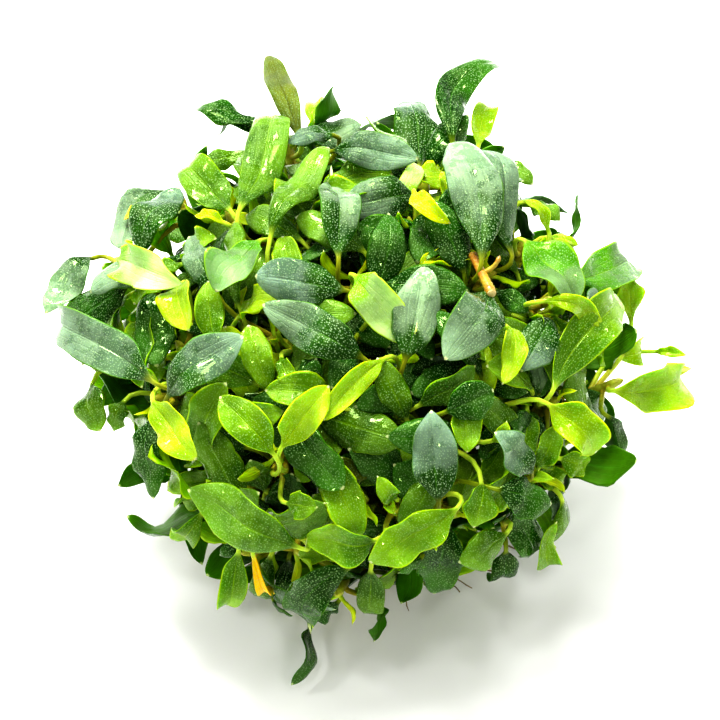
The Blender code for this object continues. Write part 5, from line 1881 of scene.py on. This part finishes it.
@dataclass(frozen=True)
class FineRootRule:
    """The knot's fine roots: how many, and in mm where they start, how thick they are and how they run."""

    count: int = 34
    seed: int = 5
    steps: int = 14
    step: float = 1.1
    reaches: tuple = (8.0, 11.0)
    heights: tuple = (1.5, 4.5)
    girths: tuple = (0.16, 0.3)
    bends: tuple = (-0.35, 0.35)
    drops: tuple = (0.1, 0.9)
    lowest: float = 0.45
    thinner: float = 0.05

    def line(self, turn: float, chance: random.Random) -> list:
        """One root's middle line with its radius, which wanders out and down.

        Args:
            turn: The angle round the knot that it starts at.
            chance: Where its chances are drawn from.

        Returns:
            Its points with the radius there.
        """
        place = Vector((math.cos(turn), math.sin(turn), 0.0)) * chance.uniform(*self.reaches) * MM
        place.z = chance.uniform(*self.heights) * MM
        girth, line = chance.uniform(*self.girths) * MM, []
        for step in range(self.steps):
            line.append((place.copy(), girth * (1.0 - self.thinner * step)))
            turn += chance.uniform(*self.bends)
            place = place + Vector((math.cos(turn), math.sin(turn), 0.0)) * self.step * MM
            place.z = max(place.z - chance.uniform(*self.drops) * MM, self.lowest * MM)
        return line


FINE_ROOT = FineRootRule()


class Woodwork:
    """The trunks and twigs of the shoots, the rhizome knot, and its roots."""

    # How shoots, the old stem, its cut end, the creeping rhizomes and the roots are made
    STEM = StemLook(10, 0.35, 1.15, 0.14, 0.12, 900.0)
    OLD_STEM = StemLook(16, 0.25, 1.0, 0.18, 0.15, 900.0)
    CUT = StemLook(16, 0.05, 1.0, 0.0, 0.15, 900.0)
    RHIZOME = StemLook(14, 0.4, 1.9, 0.2, 0.3, 600.0)
    ROOT = StemLook(8, 0.5, 3.0, 0.05, 0.1, 800.0)
    STEPS = 14
    BUD = ((0.6, 0.75), (1.0, 0.2))
    TRUNK_BACK = 1.6 * MM
    TWIG_BACK = 0.3 * MM
    TWIG_BUD = 1.5 * MM

    def __init__(self, plant: Plant):
        self.plant = plant
        self.maker = StemMaker()

    def line(self, twig: Twig, back: float, bud: float) -> list:
        """A twig's middle line with its radius: it starts a little back and ends in a bud."""
        start, way = twig.at(0.0)
        line = [(start - way * back, twig.radius)]
        for share in (step / self.STEPS for step in range(self.STEPS + 1)):
            line.append((twig.at(share)[0], between(twig.radius, twig.end_radius, share)))
        end, way = twig.at(1.0)
        line += [(end + way * bud * ahead, twig.end_radius * girth) for ahead, girth in self.BUD]
        return line

    def build(self) -> None:
        """Make the stems of every shoot, then the knot with its roots."""
        values = self.STEM.values(STEM_SKIN.material("stem skin"))
        for name, trunk in self.plant.trunks.items():
            twigs = [tip.twig for tip in self.plant.tips if tip.shoot == name]
            lines = [self.line(trunk, self.TRUNK_BACK, 0.0)[:-2]]
            lines += [self.line(twig, self.TWIG_BACK, self.TWIG_BUD) for twig in twigs]
            finish_piece(self.maker.make(f"{name}_stem", lines, values), name)
        self.old_stem()
        skin = RHIZOME_SKIN.material("rhizome skin")
        self.knot(skin)
        self.rhizomes(skin)
        self.roots()

    def old_stem(self) -> None:
        """The stretch of orange-brown stem that shows among the leaves, and its pale cut end."""
        places = ((15.8, 14.0, -6.5), (17.0, 11.6, -3.4), (18.4, 8.6, -1.2))
        foot, bend, end = (LAYOUT.point(x, y, depth * MM) for x, y, depth in places)
        places = ((18.8, 12.0, -1.8), (19.4, 13.4, -0.4))
        side_bend, side_end = (LAYOUT.point(x, y, depth * MM) for x, y, depth in places)
        stem = Twig(foot, bend, end, 0.55 * MM, 0.72 * MM)
        side = Twig(stem.at(0.5)[0], side_bend, side_end, 0.42 * MM, 0.3 * MM)
        lines = [self.line(stem, 0.0, 0.0)[:-2], self.line(side, 0.0, 0.5 * MM)]
        values = self.OLD_STEM.values(OLD_STEM_SKIN.material("old stem skin"))
        finish_piece(self.maker.make("old_stem", lines, values), "shoot_13")
        way = stem.at(1.0)[1]
        steps = ((0.0, 0.68), (0.1, 0.68), (0.2, 0.5), (0.24, 0.2))
        cut = [(end + way * ahead * MM, girth * MM) for ahead, girth in steps]
        values = self.CUT.values(CUT_SKIN.material("cut end"))
        finish_piece(self.maker.make("old_stem_cut", [cut], values), "shoot_13")

    def knot(self, skin: bpy.types.Material) -> None:
        """The rhizome knot: a rough dome, which stays flat underneath."""
        sides, rings, top, roughness, flat_under = 96, 22, 0.985, 0.9 * MM, 0.8 * MM
        rises = tuple(top * math.sin(math.pi / 2.0 * k / rings) for k in range(rings + 1))
        points, faces = KNOT.dome(sides, rises)
        for k, point in enumerate(points):
            rough = noise.noise(point * 320.0) * 0.7 + noise.noise(point * 900.0) * 0.3
            side = Vector((point.x, point.y, point.z * 1.5)).normalized()
            points[k] = point + side * rough * roughness * min(point.z / flat_under, 1.0)
        mesh = bpy.data.meshes.new("knot")
        mesh.from_pydata([tuple(point) for point in points], [], faces)
        mesh.polygons.foreach_set("use_smooth", [True] * len(mesh.polygons))
        mesh.materials.append(skin)
        finish_piece(placed("rhizome_dome", mesh), KNOT.name)

    def rhizomes(self, skin: bpy.types.Material) -> None:
        """The creeping rhizomes that leave the knot for the shoots."""
        inner_share, bow_share, bow_step = 0.15, 0.5, 2.3
        low, high = Vector((0.0, 0.0, 3.0 * MM)), Vector((0.0, 0.0, 2.5 * MM))
        lines = []
        for number, trunk in enumerate(self.plant.trunks.values()):
            start = trunk.start
            inward = Vector((start.x, start.y, 0.0)) * inner_share + low
            bow = Vector((-start.y, start.x, 0.0)) * bow_share * math.sin(bow_step * number)
            bow = (inward + start) / 2.0 + bow + high
            lines.append(self.line(Twig(inward, bow, start, 1.75 * MM, 1.25 * MM), 0.0, 0.6 * MM)[:-1])
        finish_piece(self.maker.make("rhizomes", lines, self.RHIZOME.values(skin)), KNOT.name)

    def roots(self) -> None:
        """The knot's thick roots and many fine ones, which come down and lie near the surface."""
        lines = [self.line(KNOT.root(number), 0.0, 0.5 * MM) for number in range(KNOT.roots)]
        chance = random.Random(FINE_ROOT.seed)
        lines += [FINE_ROOT.line(GOLDEN_ANGLE * number, chance) for number in range(FINE_ROOT.count)]
        values = self.ROOT.values(ROOT_SKIN.material("root skin"))
        finish_piece(self.maker.make("roots", lines, values), KNOT.name)


@dataclass(frozen=True)
class Softbox:
    """A soft studio light: where it hangs, its size in metres and its power."""

    name: str
    place: tuple
    size: tuple
    power: float

    def hang(self) -> None:
        """Add the light, aimed at the clump."""
        light = bpy.data.lights.new(self.name, "AREA")
        light.shape = "RECTANGLE"
        light.size, light.size_y = self.size
        light.energy = self.power
        lamp = placed(self.name, light)
        lamp.location = self.place
        lamp.rotation_euler = (LAYOUT.middle - lamp.location).to_track_quat("-Z", "Y").to_euler()


@dataclass(frozen=True)
class Studio:
    """The white sweep, the soft lights and the camera at the photograph's angle."""

    half_floor: float = 3.0
    frame_width: float = 100.8 * MM
    sensor: float = 36.0
    drop: float = 0.7 * MM
    clip: tuple = (0.05, 20.0)
    sky: tuple = (1.0, 1.0, 0.92, 1.0)
    sky_strength: float = 0.50
    floor_colour: tuple = (0.84, 0.84, 0.84, 1.0)
    floor_glow: float = 0.06
    boxes: tuple = (
        Softbox("overhead softbox", (-0.04, 0.12, 0.92), (0.80, 0.70), 0.5),
        Softbox("overhead core", (-0.08, 0.20, 0.88), (0.34, 0.26), 5.6),
        Softbox("key softbox", (-0.18, 0.46, 0.70), (0.50, 0.40), 0.6),
        Softbox("key core", (-0.22, 0.50, 0.62), (0.28, 0.22), 7.8),
        Softbox("right core", (0.36, 0.32, 0.56), (0.10, 0.10), 1.2),
        Softbox("left core", (-0.52, 0.02, 0.55), (0.08, 0.10), 0.7),
        Softbox("front left core", (-0.24, -0.26, 0.80), (0.06, 0.06), 0.5),
        Softbox("low left core", (-0.34, -0.62, 0.48), (0.05, 0.05), 0.55),
        Softbox("low right core", (0.30, -0.56, 0.56), (0.05, 0.05), 0.55),
        Softbox("front right core", (0.30, -0.16, 0.80), (0.06, 0.06), 0.5),
    )

    def build(self) -> None:
        """Add the floor, the lights, the surroundings and the camera."""
        self.floor()
        for box in self.boxes:
            box.hang()
        world = bpy.data.worlds.new("studio")
        world.use_nodes = True
        NodeSheet(world.node_tree).feed(
            world.node_tree.nodes["Background"], {"Color": self.sky, "Strength": self.sky_strength}
        )
        bpy.context.scene.world = world
        bpy.context.scene.view_settings.view_transform = "Standard"
        bpy.context.scene.view_settings.look = "High Contrast"
        self.camera()

    def floor(self) -> None:
        """The plain white floor."""
        edge = self.half_floor
        mesh = bpy.data.meshes.new("floor")
        corners = [(-edge, -edge, 0), (edge, -edge, 0), (edge, edge, 0), (-edge, edge, 0)]
        mesh.from_pydata(corners, [], [(0, 1, 2, 3)])
        material, sheet, shader = new_material("white sweep")
        feeds = {"Base Color": self.floor_colour, "Roughness": 0.7, "Specular IOR Level": 0.1}
        feeds |= {"Emission Color": (1.0, 1.0, 1.0, 1.0), "Emission Strength": self.floor_glow}
        sheet.feed(shader, feeds)
        mesh.materials.append(material)
        floor = placed("floor", mesh)

    def camera(self) -> None:
        """The camera, looking at the clump down the slope of the layout."""
        lens = bpy.data.cameras.new("camera")
        lens.sensor_width = self.sensor
        lens.lens = self.sensor * LAYOUT.distance / self.frame_width
        lens.clip_start, lens.clip_end = self.clip
        camera = placed("camera", lens)
        camera.location = LAYOUT.middle + LAYOUT.out * LAYOUT.distance - LAYOUT.up * self.drop
        camera.rotation_euler = LAYOUT.out.to_track_quat("Z", "Y").to_euler()
        bpy.context.scene.camera = camera


def write_sizes() -> None:
    """Bring the scene's placements up to date."""
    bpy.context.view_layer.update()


def main() -> None:
    """Grow the plant, dress it and light it."""
    logging.basicConfig(level=logging.INFO, format="%(name)s: %(message)s")
    plant = Plant()
    plant.grow()
    markings = surface_group()
    finishes = LEAF_FINISHES.items()
    finishes = {tone: finish.material(f"leaf {tone.value}", markings) for tone, finish in finishes}
    build_leaves(plant, LeafMaker(finishes))
    Woodwork(plant).build()
    Studio().build()
    write_sizes()


if __name__ == "__main__":
    main()
